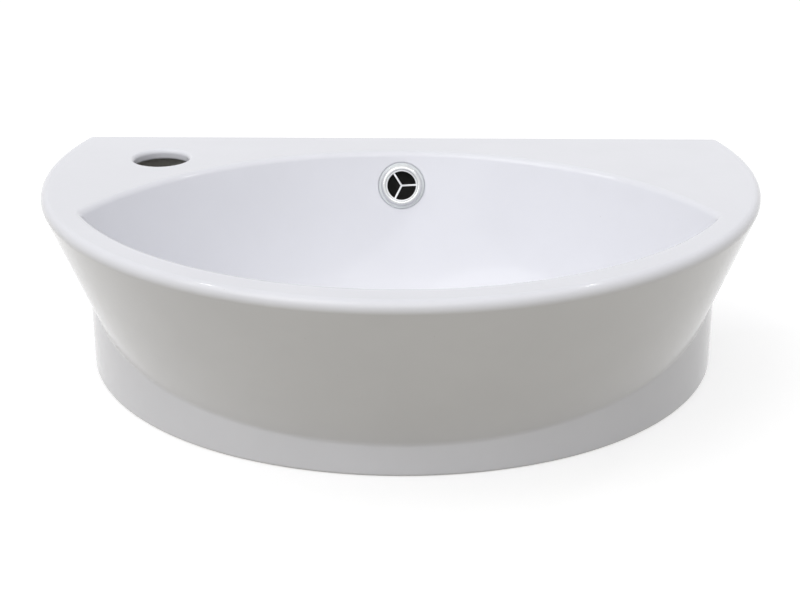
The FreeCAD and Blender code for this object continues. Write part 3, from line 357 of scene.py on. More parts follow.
def glaze_finish():
    """Thick white glaze: slow unevenness, fine orange peel, a few pinholes, and bare clay where the mask says so. The
    duct's walls get near-black clay: painted shade for the dark inside of the duct.
    """
    glaze, bare = colour("glaze"), colour("bare")
    recipe = Recipe("glazed_ceramic", IOR=1.5, Specular_IOR_Level=0.4)
    mask = recipe.node("ShaderNodeAttribute", {"attribute_name": "bare"})["Fac"]
    duct = recipe.node("ShaderNodeAttribute", {"attribute_name": "duct"})["Fac"]
    slow = recipe.noise(14.0, 3.0)
    cloud = recipe.noise(55.0, 4.0)
    near, random = recipe.cells(190.0)
    pick = recipe.node("ShaderNodeSeparateColor", None, {"Color": random})["Red"]
    speck = recipe.ramp(near, 0.09, 0.04) * (pick < 0.035)
    body = recipe.blend(recipe.ramp(slow, 0.35, 0.65), tinted(glaze, 0.985), tinted(glaze, 1.01))
    body = recipe.blend(recipe.ramp(cloud, 0.5, 0.75) * 0.35, body, tinted(glaze, 0.985))
    body = recipe.blend(speck * 0.25, body, (0.45, 0.42, 0.38))
    grain = recipe.noise(900.0, 5.0, 0.65)
    stain = recipe.noise(40.0, 4.0)
    clay = recipe.shade(stain, 0.4, 0.7, bare, 0.88)
    clay = recipe.blend(recipe.ramp(grain, 0.55, 0.75) * 0.5, clay, tinted(bare, 0.75))
    # Painted shade: the clay on the duct's walls is made near-black in place of the shade inside the duct.
    clay = recipe.blend(duct, clay, tinted(bare, 0.06))
    wave = recipe.noise(19.0, 1.0)
    peel = recipe.noise(330.0, 2.0)
    dips = 1 - speck
    gloss = 1 - mask
    normal = recipe.bump(wave, 0.22, 0.0012)
    normal = recipe.bump(peel * gloss + dips * 0.6 * gloss, 0.05, 0.0004, normal)
    normal = recipe.bump(grain * mask, 0.5, 0.0006, normal)
    recipe.feed(
        Base_Color=recipe.blend(mask, body, clay),
        Roughness=(0.07 + cloud * 0.05) * gloss + 0.8 * mask,
        Normal=normal,
    )
    return recipe.material


def metal_finish(name, base, rough, scratch):
    """Metal with fine drawn or turned lines, soft smudges and faint wear."""
    recipe = Recipe(name, Metallic=1.0)
    smudge = recipe.noise(60.0, 4.0)
    drawn = recipe.node("ShaderNodeVectorMath", {"operation": "MULTIPLY"}, {0: recipe.place, 1: (1.0, 1.0, 40.0)})[0]
    fine = recipe.noise(140.0, 6.0, 0.7, drawn)
    hair = recipe.noise(2200.0, 3.0)
    recipe.feed(
        Base_Color=recipe.shade(smudge, 0.35, 0.7, base, 0.86),
        Roughness=rough + smudge * rough * 0.8 + fine * scratch * 0.25,
        Normal=recipe.bump(fine + hair * 0.3, scratch, 0.00005),
    )
    return recipe.material


def plastic_finish(name, base, rough, depth):
    """Moulded plastic: even colour with slight cloudiness and a fine moulded skin."""
    recipe = Recipe(name, IOR=1.47)
    cloud = recipe.noise(120.0, 3.0)
    skin = recipe.noise(1500.0, 3.0)
    recipe.feed(
        Base_Color=recipe.shade(cloud, 0.3, 0.7, base, 0.94),
        Roughness=rough + cloud * 0.06,
        Normal=recipe.bump(skin, depth, 0.00004),
    )
    return recipe.material


def rubber_finish():
    """Black rubber with a dusty bloom and a fine grain."""
    base = colour("rubber")
    recipe = Recipe("black_rubber", IOR=1.5)
    bloom = recipe.noise(90.0, 4.0)
    grain = recipe.noise(1800.0, 4.0)
    recipe.feed(
        Base_Color=recipe.blend(recipe.ramp(bloom, 0.4, 0.75) * 0.5, base, (0.10, 0.10, 0.10)),
        Roughness=0.62 + bloom * 0.2,
        Normal=recipe.bump(grain, 0.35, 0.00008),
    )
    return recipe.material


FINISHES = {}


def finish(slot):
    """The material of a slot of the record, made once."""
    if slot not in FINISHES:
        makers = {
            "glaze": glaze_finish,
            "pale_plastic": lambda: plastic_finish("milky_plastic", colour("milky"), 0.16, 0.12),
            "chrome": lambda: metal_finish("chrome_plate", colour("chrome"), 0.05, 0.04),
            "dull_metal": lambda: metal_finish("satin_metal", colour("satin"), 0.30, 0.35),
            "brass": lambda: metal_finish("turned_brass", colour("brass"), 0.22, 0.4),
            "rubber": rubber_finish,
            "hard_plastic": lambda: plastic_finish("hard_plastic", (0.74, 0.74, 0.71), 0.42, 0.35),
            "steel": lambda: metal_finish("drawn_steel", (0.58, 0.59, 0.60), 0.2, 0.3),
        }
        FINISHES[slot] = makers[slot]()
    return FINISHES[slot]


# ---------------------------------------------------------------- the casting


# The point in the plan that directions are counted from, on the y axis.
CENTRE = -60.0
# How far the taper's foot and the foot ring lie inside the rim, at the sides and at the front.
TAPER_INSET, TAPER_BACK = 34.0, 54.0
FOOT_INSET, FOOT_BACK = 14.6, 74.2
# How much larger the foot's front circle is, and how far its side circles are drawn in.
FOOT_FRONT_FLAT, FOOT_SIDE_DRAW = 8.9, 5.7
BACK_CORNER = 6.0
WALL, DECK, BACK_WALL = 11.0, 14.0, 12.0
# Tap hole: its place in the plan, the land left round it and the recess under the deck.
TAP = (-156.0, -51.0)
TAP_LAND, TAP_RECESS = 7.0, 27.0
FIXING_ASIDE, FIXING_LEVEL, FIXING_RADIUS = 100.0, 95.0, 7.0
WASTE_RADIUS, BOSS_RADIUS, BOSS_LEVEL = 23.0, 37.0, 4.0
FLANGE_RECESS, FLANGE_RECESS_DEPTH = 33.5, 3.5
SLOT_LOW, SLOT_HIGH = 10.0, 25.0
DUCT_WALL, DUCT_HALF = 7.0, 13.0


def lost(slope, radius):
    """How far rounding the rim draws in an edge whose wall leans out by slope."""
    return radius * (math.hypot(slope, 1) + slope - 1)


def taper_at(level, s):
    """Radius and centre of the taper's circle: both run straight from the foot's level to the rim's."""
    radius, height = s["rim_width"] / 2, s["rim_height"]
    centre = s["rim_depth"] - radius
    side = TAPER_INSET / height
    sharp = radius + lost(side, s["rim_round"])
    front = s["rim_depth"] + lost(side + TAPER_BACK / height, s["rim_round"])
    share = level / height
    low_radius, low_centre = radius - TAPER_INSET, centre - TAPER_BACK
    return low_radius + (sharp - low_radius) * share, low_centre + (front - sharp - low_centre) * share


def foot_arcs(s):
    """The foot ring's front and side circles, each as radius, centre ahead of the back, and shift to the side.

    The side circles are drawn in from the sides and touch the flatter front circle from inside.
    """
    radius, front = s["rim_width"] / 2 - FOOT_INSET, s["rim_depth"] - FOOT_BACK
    wide, narrow = radius + FOOT_FRONT_FLAT, radius - FOOT_SIDE_DRAW
    ahead = front - wide + math.sqrt((wide - narrow) ** 2 - FOOT_SIDE_DRAW**2)
    return (wide, front - wide, 0.0), (narrow, ahead, FOOT_SIDE_DRAW)


def foot_arc(turn, s):
    """Radius, centre and shift of the foot ring's arc in each direction from the plan's centre."""
    wide, narrow = foot_arcs(s)
    share = wide[0] / (wide[0] - narrow[0])
    meet_x, meet_y = narrow[2] * share, wide[1] + (narrow[1] - wide[1]) * share + CENTRE
    front = -np.sin(turn) > meet_y / math.hypot(meet_x, meet_y)
    shift = np.where(front, 0, narrow[2] * np.sign(np.cos(turn)))
    return np.where(front, wide[0], narrow[0]), np.where(front, wide[1], narrow[1]), shift


def reach(turn, radius, centre, shift=0):
    """Distance from the plan's centre to a circle, in the direction turn."""
    off = -centre - CENTRE
    along = shift * np.cos(turn) + off * np.sin(turn)
    across = shift * np.sin(turn) - off * np.cos(turn)
    return along + np.sqrt(radius**2 - across**2)


def outside_reach(turn, level, s):
    """Distance to the outside in one direction: the larger of taper and foot ring, with a hollow rounding.

    Where the two distances differ by less than k = r (1 - cos of the angle between the surfaces), the larger
    grows by (k - difference) squared over 4 k, which runs smoothly out of both.
    """
    radius, centre = taper_at(level, s)
    foot_radius, foot_centre, foot_shift = foot_arc(turn, s)
    taper, foot = reach(turn, radius, centre), reach(turn, foot_radius, foot_centre, foot_shift)
    far = np.maximum(taper, foot)
    x, y = far * np.cos(turn), CENTRE + far * np.sin(turn)
    one_radius, one_centre = taper_at(level + 1.0, s)
    grow, shift = one_radius - radius, one_centre - centre
    out_x, out_y = x / np.hypot(x, y + centre), (y + centre) / np.hypot(x, y + centre)
    foot_x, foot_y = (x - foot_shift) / foot_radius, (y + foot_centre) / foot_radius
    steep = out_y * shift - grow
    cosine = (out_x * foot_x + out_y * foot_y) / np.sqrt(1 + steep**2)
    k = s["junction_round"] * (1 - cosine) + 0.02
    return far + np.maximum(k - np.abs(taper - foot), 0) ** 2 / (4 * k)


def junction_level(turn, s):
    """Level at which taper and foot ring are equally far out, found by halving."""
    foot = reach(turn, *foot_arc(turn, s))
    low, high = np.zeros_like(turn), np.full_like(turn, s["rim_height"])
    for _ in range(40):
        middle = (low + high) / 2
        inside = reach(turn, *taper_at(middle, s)) < foot
        low, high = np.where(inside, middle, low), np.where(inside, high, middle)
    return low


def corner_spot(level, s):
    """Centre of the small circle that rounds the back corner, and the direction in which it meets the side."""
    spots = []
    for radius, centre, shift in ((*taper_at(level, s), 0), foot_arcs(s)[1]):
        across = np.sqrt((radius - BACK_CORNER) ** 2 - (centre - BACK_CORNER) ** 2)
        lean = np.arctan2(centre - BACK_CORNER, across)
        spots.append((shift + across + 0 * level, lean + 0 * level))
    gap, soft = spots[0][0] - spots[1][0], 0.6
    far = np.maximum(spots[0][0], spots[1][0]) + np.maximum(soft - np.abs(gap), 0) ** 2 / (4 * soft)
    share = np.clip(gap / (2 * soft) + 0.5, 0, 1)
    return far, spots[1][1] + (spots[0][1] - spots[1][1]) * share


BACK_COLUMNS, CORNER_COLUMNS, SIDE_COLUMNS = 40, 14, 460
SIDE_START = BACK_COLUMNS + CORNER_COLUMNS
SIDE_STOP = SIDE_START + SIDE_COLUMNS


def outside_plan(level, s):
    """Points round the outside, for levels given row by row and column by column.

    The columns run along the flat back, round the left corner, round the front and round the right corner.
    """
    across, lean = corner_spot(level, s)
    back, corner = np.s_[..., :BACK_COLUMNS], np.s_[..., BACK_COLUMNS:SIDE_START]
    side, last = np.s_[..., SIDE_START:SIDE_STOP], np.s_[..., SIDE_STOP:]
    x, y = np.zeros_like(level), np.zeros_like(level)
    share = np.linspace(1, -1, BACK_COLUMNS)
    x[back] = across[back] * share
    share = np.linspace(0, 1, CORNER_COLUMNS + 1)[1:]
    turn = np.pi / 2 + (np.pi / 2 - lean[corner]) * share
    x[corner], y[corner] = BACK_CORNER * np.cos(turn) - across[corner], BACK_CORNER * (np.sin(turn) - 1)
    start_x = across[side] + BACK_CORNER * np.cos(lean[side])
    start_y = BACK_CORNER * (np.sin(lean[side]) - 1)
    start = np.arctan2(start_y - CENTRE, start_x)
    share = np.linspace(0, 1, SIDE_COLUMNS + 2)[1:-1]
    turn = (np.pi - start) + (np.pi + 2 * start) * share
    far = outside_reach(turn, level[side], s)
    x[side], y[side] = far * np.cos(turn), CENTRE + far * np.sin(turn)
    share = np.linspace(0, 1, CORNER_COLUMNS + 1)[:-1]
    turn = lean[last] + (np.pi / 2 - lean[last]) * share
    x[last], y[last] = BACK_CORNER * np.cos(turn) + across[last], BACK_CORNER * (np.sin(turn) - 1)
    return np.stack([x, y], axis=-1)


def outward(plan):
    """Unit normals of closed plan curves, from the directions to the two neighbours. Columns run anticlockwise."""
    ahead = np.roll(plan, -1, axis=-2) - plan
    behind = plan - np.roll(plan, 1, axis=-2)
    along = ahead / np.linalg.norm(ahead, axis=-1, keepdims=True)
    along = along + behind / np.linalg.norm(behind, axis=-1, keepdims=True)
    along = along / np.linalg.norm(along, axis=-1, keepdims=True)
    return np.stack([along[..., 1], -along[..., 0]], axis=-1)


def polar(radius, turn, x=0.0, y=0.0):
    """Plan points at a distance and in a direction from x, y."""
    return np.stack([x + radius * np.cos(turn), y + radius * np.sin(turn)], axis=-1)


def lifted(plan, level):
    """Plan points at their levels."""
    return np.concatenate([plan, np.broadcast_to(level[..., None], (*plan.shape[:-1], 1))], axis=-1)


def outside_solid(s):
    """The outside as one closed block: foot edge, foot ring, hollow junction, taper and rounded rim.

    The rim's rounding is a quarter turn and a bit: it starts where its circle touches the leaning wall.
    """
    count = SIDE_STOP + CORNER_COLUMNS
    height, rim, foot = s["rim_height"], s["rim_round"], s["foot_round"]
    flat = np.full(count, height - rim)
    plan = outside_plan(flat, s)
    normal = outward(plan)
    rise = outside_plan(flat + 1, s) - outside_plan(flat - 1, s)
    slope = np.sum(rise * normal, axis=-1) / 2
    lean = np.arctan(slope)
    turn = np.arctan2(plan[:, 1] - CENTRE, plan[:, 0])
    side = np.zeros(count, bool)
    side[SIDE_START:SIDE_STOP] = True
    joint = np.where(side, junction_level(turn, s), 0)
    joint = np.where(side, joint, joint[side][0])
    top = height - rim - rim * np.sin(lean)
    # The rows lie closer together within half this band above and below the junction.
    half = 3.2
    joint = np.minimum(joint, top - half - 1)
    parts = [
        foot + (joint - half - foot) * np.linspace(0, 1, 14)[:, None],
        joint + half * np.linspace(-1, 1, 25)[1:, None],
        (joint + half) + (top - joint - half) * np.linspace(0, 1, 36)[1:, None],
    ]
    level = np.concatenate(parts)
    wall = lifted(outside_plan(level, s), level)
    bend = lean * -1 + (np.pi / 2 + lean) * np.linspace(0, 1, 17)[1:, None]
    offset = rim * (np.cos(bend) - 1 / np.cos(lean))
    edge = lifted(plan + normal * offset[..., None], height - rim + rim * np.sin(bend))
    bend = np.linspace(np.pi / 2, 0, 9)[:-1, None] + 0 * lean
    low_plan = outside_plan(np.full(count, foot), s)
    low_normal = outward(low_plan)
    under = lifted(low_plan + low_normal * (foot * (np.cos(bend) - 1))[..., None], foot - foot * np.sin(bend))
    return stack("basin", np.concatenate([under, wall, edge]))


# The opening's large circles: the bands left in front of and behind it, how much smaller than the rim's circle they
# are, and how much they shrink and shift towards the floor. Then the floor's length and the small circles' radius.
FRONT_BAND, FRONT_INSET, FRONT_DRAW, FRONT_SHIFT = 20.0, 16.0, 25.5, 35.3
REAR_BAND, REAR_INSET, REAR_DRAW = 35.8, 20.0, 33.3
FLOOR_SPAN, OPENING_CORNER, CORNER_GROWTH = 70.1, 9.0, 14.7
ARC_COLUMNS = (170, 26, 130, 26)


def bowl_circles(share, grow, s):
    """Radius and centre of the bowl's front and rear circles at a share of its depth, widened by grow.

    Going down, both circles shrink, the front one's centre moves back, and both shrink further by
    1 - root(1 - share to the sixth) where the walls turn in.
    """
    rim = s["rim_width"] / 2
    draw = (s["rim_depth"] - FRONT_BAND - REAR_BAND - FRONT_DRAW - FRONT_SHIFT - REAR_DRAW - FLOOR_SPAN) / 2
    close = draw * (1 - np.sqrt(np.maximum(1 - share**6, 0)))
    front = rim - FRONT_INSET - FRONT_DRAW * share - close + grow
    front_y = -(s["rim_depth"] - FRONT_BAND - (rim - FRONT_INSET)) + FRONT_SHIFT * share
    rear = rim - REAR_INSET - REAR_DRAW * share - close + grow
    rear_y = -(REAR_BAND + rim - REAR_INSET) + 0 * share
    return front, front_y, rear, rear_y


def section(share, grow, s):
    """Plan of the bowl at a share of its depth, widened by grow: a front and a rear arc joined by two small ones.

    Each small circle touches both large ones from inside.
    """
    share = np.asarray(share, float)
    front, front_y, rear, rear_y = bowl_circles(share, grow, s)
    small = OPENING_CORNER + CORNER_GROWTH * share + grow
    gap = front_y - rear_y
    along = ((front - small) ** 2 - (rear - small) ** 2 + gap**2) / (2 * gap)
    corner_x = np.sqrt((front - small) ** 2 - along**2)
    corner_y = front_y - along
    to_front = np.arctan2(corner_y - front_y, corner_x)
    to_rear = np.arctan2(corner_y - rear_y, corner_x)
    arcs = [
        (0 * share, front_y, front, -np.pi - to_front, to_front),
        (corner_x, corner_y, small, to_front, to_rear),
        (0 * share, rear_y, rear, to_rear, np.pi - to_rear),
        (-corner_x, corner_y, small, np.pi - to_rear, np.pi - to_front),
    ]
    which = np.repeat(np.arange(4), ARC_COLUMNS)
    part = np.concatenate([np.arange(n) / n for n in ARC_COLUMNS])
    picked = [np.choose(which, [np.broadcast_to(a[i], share.shape) for a in arcs]) for i in range(5)]
    x0, y0, radius, start, stop = picked
    return polar(radius, start + (stop - start) * part, x0, y0)


def wall_shares(start):
    """Shares of the depth from start down to the floor, closer together where the wall turns into it.

    Below knee they are the cube root of the sine of an angle that grows evenly.
    """
    knee = 0.36
    straight = start + (knee - start) * np.linspace(0, 1, 16)[:, None]
    bend = np.arcsin(knee**3) + (np.pi / 2 - np.arcsin(knee**3)) * np.linspace(0, 1, 48)[1:, None]
    lower = np.sin(bend) ** (1 / 3) + 0 * start
    return np.concatenate([straight, lower])


def bowl_cutter(s):
    """The bowl's space, with the rounded edge of its opening, up to a little above the rim."""
    height, depth, lip = s["rim_height"], s["bowl_depth"], s["lip_round"]
    count = sum(ARC_COLUMNS)
    spot = np.full(count, lip / depth)
    plan = section(spot, 0, s)
    normal = outward(plan)
    fall = section(spot - 1 / depth, 0, s) - section(spot + 1 / depth, 0, s)
    lean = np.arctan(np.sum(fall * normal, axis=-1) / 2)
    bend = np.pi / 2 + (np.pi / 2 - lean) * np.linspace(0, 1, 17)[:, None]
    offset = lip * (1 / np.cos(lean) + np.cos(bend))
    edge = lifted(plan + normal * offset[..., None], height - lip + lip * np.sin(bend))
    above = edge[:1] + np.array([0, 0, 6.0])
    edge[0, :, 2] += 0.002
    share = wall_shares((lip - lip * np.sin(lean)) / depth)[1:]
    wall = lifted(section(share, 0, s), height - depth * share)
    return stack("bowl_space", np.concatenate([above, edge, wall]))


def shell_solid(s):
    """The bowl's wall as it shows from below: the bowl's sections widened by the wall."""
    share = wall_shares(np.zeros(sum(ARC_COLUMNS)))
    top = s["rim_height"] - 2 * s["rim_round"]
    return stack("bowl_wall", lifted(section(share, WALL, s), top - s["bowl_depth"] * share))


def hollow_cutter(s):
    """The space under the deck: a trimmed circle carried up, its ceiling's edge rounded."""
    radius = s["rim_width"] / 2 - FOOT_INSET
    radius, centre = radius - WALL, s["rim_depth"] - FOOT_BACK - radius
    ceiling, soft = s["rim_height"] - DECK, 8.0
    across = math.sqrt((radius - soft) ** 2 - (BACK_WALL + soft - centre) ** 2)
    lean = math.atan2(centre - BACK_WALL - soft, across)
    back = np.stack([np.linspace(across, -across, 30), np.full(30, -BACK_WALL)], axis=-1)
    turns = np.pi / 2 + (np.pi / 2 - lean) * np.linspace(0, 1, 13)[1:]
    left = polar(soft, turns, -across, -BACK_WALL - soft)
    turns = np.pi - lean + (np.pi + 2 * lean) * np.linspace(0, 1, 220)[1:-1]
    front = polar(radius, turns, 0, -centre)
    plan = np.concatenate([back, left, front, left[::-1] * [-1, 1]])
    normal = outward(plan)
    bend = np.linspace(0, np.pi / 2, 9)[:, None]
    offset = np.concatenate([[[0]], soft * (np.cos(bend) - 1)])
    level = np.concatenate([[[-2]], ceiling - soft + soft * np.sin(bend)])
    rows = lifted(plan + normal * offset[..., None], level + 0 * plan[:, 0])
    return stack("hollow_space", rows)


def turned_rows(profile, columns, x=0.0, y=0.0):
    """Rings of points from a profile of (radius, level), turned about an upright axis at x, y."""
    profile = np.asarray(profile, float)
    turn = np.arange(columns) * 2 * np.pi / columns
    return lifted(polar(profile[:, :1], turn, x, y), profile[:, 1:] + 0 * turn)


def about_waste(profile, columns):
    """Rings of points turned about the waste's axis."""
    return turned_rows(profile, columns, 0, -WASTE_AHEAD)


def softened(corners, radii, steps=6):
    """A profile whose corners are rounded: each is replaced by an arc that touches both of its edges.

    corners are (radius, level) points in order, radii one rounding each. With closed ends the first and last stay.
    """
    corners = np.asarray(corners, float)
    out = [corners[:1]]
    for before, corner, after, radius in zip(corners[:-2], corners[1:-1], corners[2:], radii[1:-1]):
        if radius == 0:
            out.append(corner[None])
            continue
        one = (before - corner) / np.linalg.norm(before - corner)
        two = (after - corner) / np.linalg.norm(after - corner)
        half = np.arccos(np.clip(one @ two, -1, 1)) / 2
        room = radius / math.tan(half)
        middle = corner + (one + two) / np.linalg.norm(one + two) * radius / math.sin(half)
        start, stop = corner + one * room - middle, corner + two * room - middle
        first = math.atan2(start[1], start[0])
        sweep = (math.atan2(stop[1], stop[0]) - first + math.pi) % (2 * math.pi) - math.pi
        out.append(polar(radius, first + sweep * np.linspace(0, 1, steps + 1), *middle))
    out.append(corners[-1:])
    return np.concatenate(out)


def prism(name, outline, half_width):
    """A block from a side view of (y, level) points, as wide as twice half_width."""
    y, level = np.asarray(outline, float).T
    return stack(name, [np.stack([np.full(len(y), x), y, level], axis=-1) for x in (-half_width, half_width)])


# The overflow's axis stands square on the rear wall, which leans back by this slope.
REAR_SLOPE = REAR_DRAW / 98.0
OVERFLOW_DROP, OVERFLOW_RADIUS, OVERFLOW_SPOT = 21.0, 12.0, 15.6
OVERFLOW_LEAN = math.atan(REAR_SLOPE)
OVERFLOW_AHEAD = REAR_BAND + REAR_SLOPE * OVERFLOW_DROP


def duct_side(wall):
    """Side view of the duct, thickened by wall on the side away from the bowl."""
    mouth, behind = WASTE_RADIUS / 2 - WASTE_AHEAD, WALL + 2 - OVERFLOW_AHEAD
    top, low, high = 126.0, SLOT_LOW, SLOT_HIGH
    return [
        (behind, top), (behind + 9 + wall * 0.3, top), (behind - 8 + wall, high + 37),
        (behind - 24 + wall, low + 22 - wall * 0.5), (behind - 42 + wall * 0.5, low + 2 - wall),
        (mouth, low + 2 - wall), (mouth, high), (behind - 56, high), (behind - 36, high + 12),
        (behind - 19, high + 42),
    ]


def leaned(rows, s):
    """Points of (x, y, height over the seat) on the overflow's axis, which leans back with the rear wall."""
    rows = np.asarray(rows, float)
    level = s["rim_height"] - OVERFLOW_DROP
    up, ahead = math.sin(OVERFLOW_LEAN), math.cos(OVERFLOW_LEAN)
    seat = rows[..., 2] - 1.0
    y = -OVERFLOW_AHEAD - ahead * seat + up * rows[..., 1]
    z = level + up * seat + ahead * rows[..., 1]
    return np.stack([rows[..., 0], y, z], axis=-1)


def on_foot(thing):
    """Moves a mesh from levels above the foot's underside into the CAD model's frame."""
    thing.data.transform(Matrix.Translation((0, 0, FOOT * MM)))
    return thing


def mark_bare(thing, s):
    """Writes two face attributes: bare is 1 where the clay is unglazed, duct is 1 on the duct's walls, which the glaze
    darkens as painted shade.

    Glazed are the outside, the bowl, the deck and the tap hole's wall, each found from the middles of the faces.
    A face lies in the duct where a line from it crosses the duct's side view an odd number of times.
    """
    mesh = thing.data
    middle = np.empty(len(mesh.polygons) * 3)
    mesh.polygons.foreach_get("center", middle)
    x, y, level = (middle.reshape(-1, 3) / MM).T
    height, depth = s["rim_height"], s["bowl_depth"]
    turn = np.arctan2(y - CENTRE, x)
    far = np.hypot(x, y - CENTRE)
    outside = (far > outside_reach(turn, np.clip(level, 0, height), s) - 1.2) | (y > -0.5)
    outside &= level > 0.3
    share, slack = np.clip((height - level) / depth, 0, 1), 4
    front, front_y, rear, rear_y = bowl_circles(share, slack, s)
    bowl = (np.hypot(x, y - front_y) < front) & (np.hypot(x, y - rear_y) < rear) & (level > height - depth - slack)
    hole = (np.hypot(x - TAP[0], y - TAP[1]) < s["tap_radius"] + 0.5) & (level > height - TAP_LAND - 0.5)
    mask = (~(outside | bowl | hole | (level > height - 6))).astype(np.float32)
    mesh.attributes.new("bare", "FLOAT", "FACE").data.foreach_set("value", mask)
    side = np.array(duct_side(0.5))
    crossed = np.zeros(len(x), bool)
    for (y0, z0), (y1, z1) in zip(side, np.roll(side, -1, axis=0)):
        crossed ^= ((z0 > level) != (z1 > level)) & (y < y0 + (level - z0) * (y1 - y0) / (z1 - z0 or 1))
    inside = (crossed & (np.abs(x) < DUCT_HALF + 0.2)).astype(np.float32)
    mesh.attributes.new("duct", "FLOAT", "FACE").data.foreach_set("value", inside)


# ---------------------------------------------------------------- operators


class BASIN_OT_casting(bpy.types.Operator):
    """Builds the glazed casting with its bowl, its holes and its hollow underside"""

    bl_idname = "basin.casting"
    bl_label = "Casting"

    def execute(self, context):
        s = sizes()
        height, floor = s["rim_height"], s["rim_height"] - s["bowl_depth"]
        casting = outside_solid(s)
        casting = carve(casting, "DIFFERENCE", [hollow_cutter(s)])
        boss = [(0.01, BOSS_LEVEL), (BOSS_RADIUS, BOSS_LEVEL), (BOSS_RADIUS, floor - 1), (0.01, floor - 1)]
        boss = stack("waste_boss", about_waste(softened(boss, (0, 3, 0, 0)), 96))
        duct = prism("duct_block", duct_side(DUCT_WALL), DUCT_HALF + DUCT_WALL)
        casting = carve(casting, "UNION", [shell_solid(s), boss, duct])
        solid = volume(casting)
        casting = carve(casting, "DIFFERENCE", [bowl_cutter(s)])
        if not 0.45 * solid < volume(casting) < 0.85 * solid:
            raise RuntimeError("The bowl wasn't cut out of the casting.")
        casting = carve(casting, "DIFFERENCE", self.holes(s, height, floor))
        mark_bare(casting, s)
        placed(casting, "basin_body", 32.0)
        return {"FINISHED"}

    def holes(self, s, height, floor):
        """Cutters of the tap hole, the waste hole and its recess, the wall fixings, the duct and the overflow."""
        tap, soft = s["tap_radius"], 3.0
        bend = np.linspace(np.pi / 2, 0, 13)
        mouth = np.stack([tap + soft - soft * np.cos(bend), height - soft + soft * np.sin(bend)], axis=-1)
        mouth[0, 1] += 0.002
        land, edge = height - TAP_LAND, 2.0
        below = np.stack([tap + edge - edge * np.cos(bend[::-1]), land + edge - edge * np.sin(bend[::-1])], axis=-1)
        profile = np.concatenate([[(mouth[0, 0], height + 5)], mouth, below, [(tap + edge, land - 3)]])
        yield stack("tap_space", turned_rows(profile, 128, *TAP))
        yield stack("tap_recess", turned_rows([(TAP_RECESS, height - DECK - 6), (TAP_RECESS, land)], 128, *TAP))
        seat, wide = floor - FLANGE_RECESS_DEPTH, FLANGE_RECESS + 0.8
        waste = [(WASTE_RADIUS, -3), (WASTE_RADIUS, seat), (FLANGE_RECESS, seat)]
        waste += [(FLANGE_RECESS, floor - 0.8), (wide, floor + 0.002), (wide, floor + 5)]
        yield stack("waste_space", about_waste(waste, 128))
        turn = np.arange(48) * np.pi / 24
        level = FIXING_LEVEL + FIXING_RADIUS * np.sin(turn)
        for side in (-1, 1):
            x = side * FIXING_ASIDE + FIXING_RADIUS * np.cos(turn)
            yield stack("fixing_space", [np.stack([x, np.full(48, y), level], axis=-1) for y in (-26.0, 3.0)])
        yield prism("duct_space", duct_side(0.0), DUCT_HALF)
        for radius, low, high in ((OVERFLOW_SPOT, 0.0, 9.0), (OVERFLOW_RADIUS, -12.0, 5.0)):
            rows = turned_rows([(radius, low), (radius, high)], 96)
            yield stack("overflow_space", leaned(rows, s))


class BASIN_OT_overflow(bpy.types.Operator):
    """Builds the overflow's milky collar, bright ring and three-spoked grille"""

    bl_idname = "basin.overflow"
    bl_label = "Overflow cover"

    def execute(self, context):
        # Each point is (radius, height over the seat).
        s = sizes()
        collar = softened(
            [(11.25, 0.5), (11.25, -11), (11.9, -11), (11.9, 0), (15, 0), (15, 1.3), (11.25, 1.3), (11.25, 0.5)],
            (0, 0.2, 0.2, 0, 0.15, 0.75, 0.3, 0),
        )
        self.turned("overflow_collar", collar, s)
        ring = [(10.5, 0), (10.5, -9.5), (11.25, -9.5), (11.25, 1.3), (13.5, 1.3)]
        ring += [(13.5, 2.0), (12.1, 3.5), (10.5, 3.5), (10.5, 0)]
        ring = softened(ring, (0, 0.2, 0.2, 0, 0.1, 0.5, 0.7, 0.45, 0))
        self.turned("overflow_ring", ring, s)
        self.grille(s)
        return {"FINISHED"}

    def turned(self, node, profile, s):
        """A piece turned about the overflow's axis from a closed profile."""
        rows = leaned(turned_rows(profile[:-1], 144), s)
        placed(stack(node.replace("overflow", "drain"), rows, closed=True), node)

    def grille(self, s):
        """A flat ring, and three straight bars from its middle whose cross-section is a softened square.

        The square runs as cosine and sine, each raised to a power under 1 with its sign kept.
        """
        ring = [(9.35, 0), (9.35, -1.7), (10.5, -1.7), (10.5, 2.3), (9.35, 2.3), (9.35, 0)]
        ring = softened(ring, (0, 0.15, 0.15, 0.25, 0.35, 0))
        grille = stack("drain_grille", leaned(turned_rows(ring[:-1], 144), s), closed=True)
        bars = []
        turn, power = np.arange(24) * np.pi / 12, 0.45
        side = 0.65 * np.sign(np.cos(turn)) * np.abs(np.cos(turn)) ** power
        depth = 0.8 * np.sign(np.sin(turn)) * np.abs(np.sin(turn)) ** power + 1.2
        for number in range(3):
            away = math.radians(3 + 120 * number)
            rows = []
            for along in (-0.5, 9.8):
                x = along * math.cos(away) - side * math.sin(away)
                y = along * math.sin(away) + side * math.cos(away)
                rows.append(np.stack([x, y, depth], axis=-1))
            bars.append(stack("grille_bar", leaned(rows, s)))
        placed(carve(grille, "UNION", bars), "overflow_grille")


def upright(node, corners, radii):
    """A piece turned about the waste's axis from a closed profile, in place of its CAD node."""
    profile = softened([*corners, corners[0]], [*radii, 0])
    placed(stack(piece_name(node), about_waste(profile[:-1], 128), closed=True), node)


def piece_name(node):
    """A name for the piece that takes a CAD node's place."""
    return node.replace("_", ".")


def box(name, low, high, turn=0.0):
    """A plain block between two corners, measured from the waste's axis and turned about it."""
    (x0, y0, z0), (x1, y1, z1) = low, high
    ring = np.array([[x0, y0], [x1, y0], [x1, y1], [x0, y1]])
    way = np.array([[math.cos(turn), math.sin(turn)], [-math.sin(turn), math.cos(turn)]])
    plan = ring @ way - [0, WASTE_AHEAD]
    return stack(name, np.stack([lifted(plan, np.full(4, float(z))) for z in (z0, z1)]))


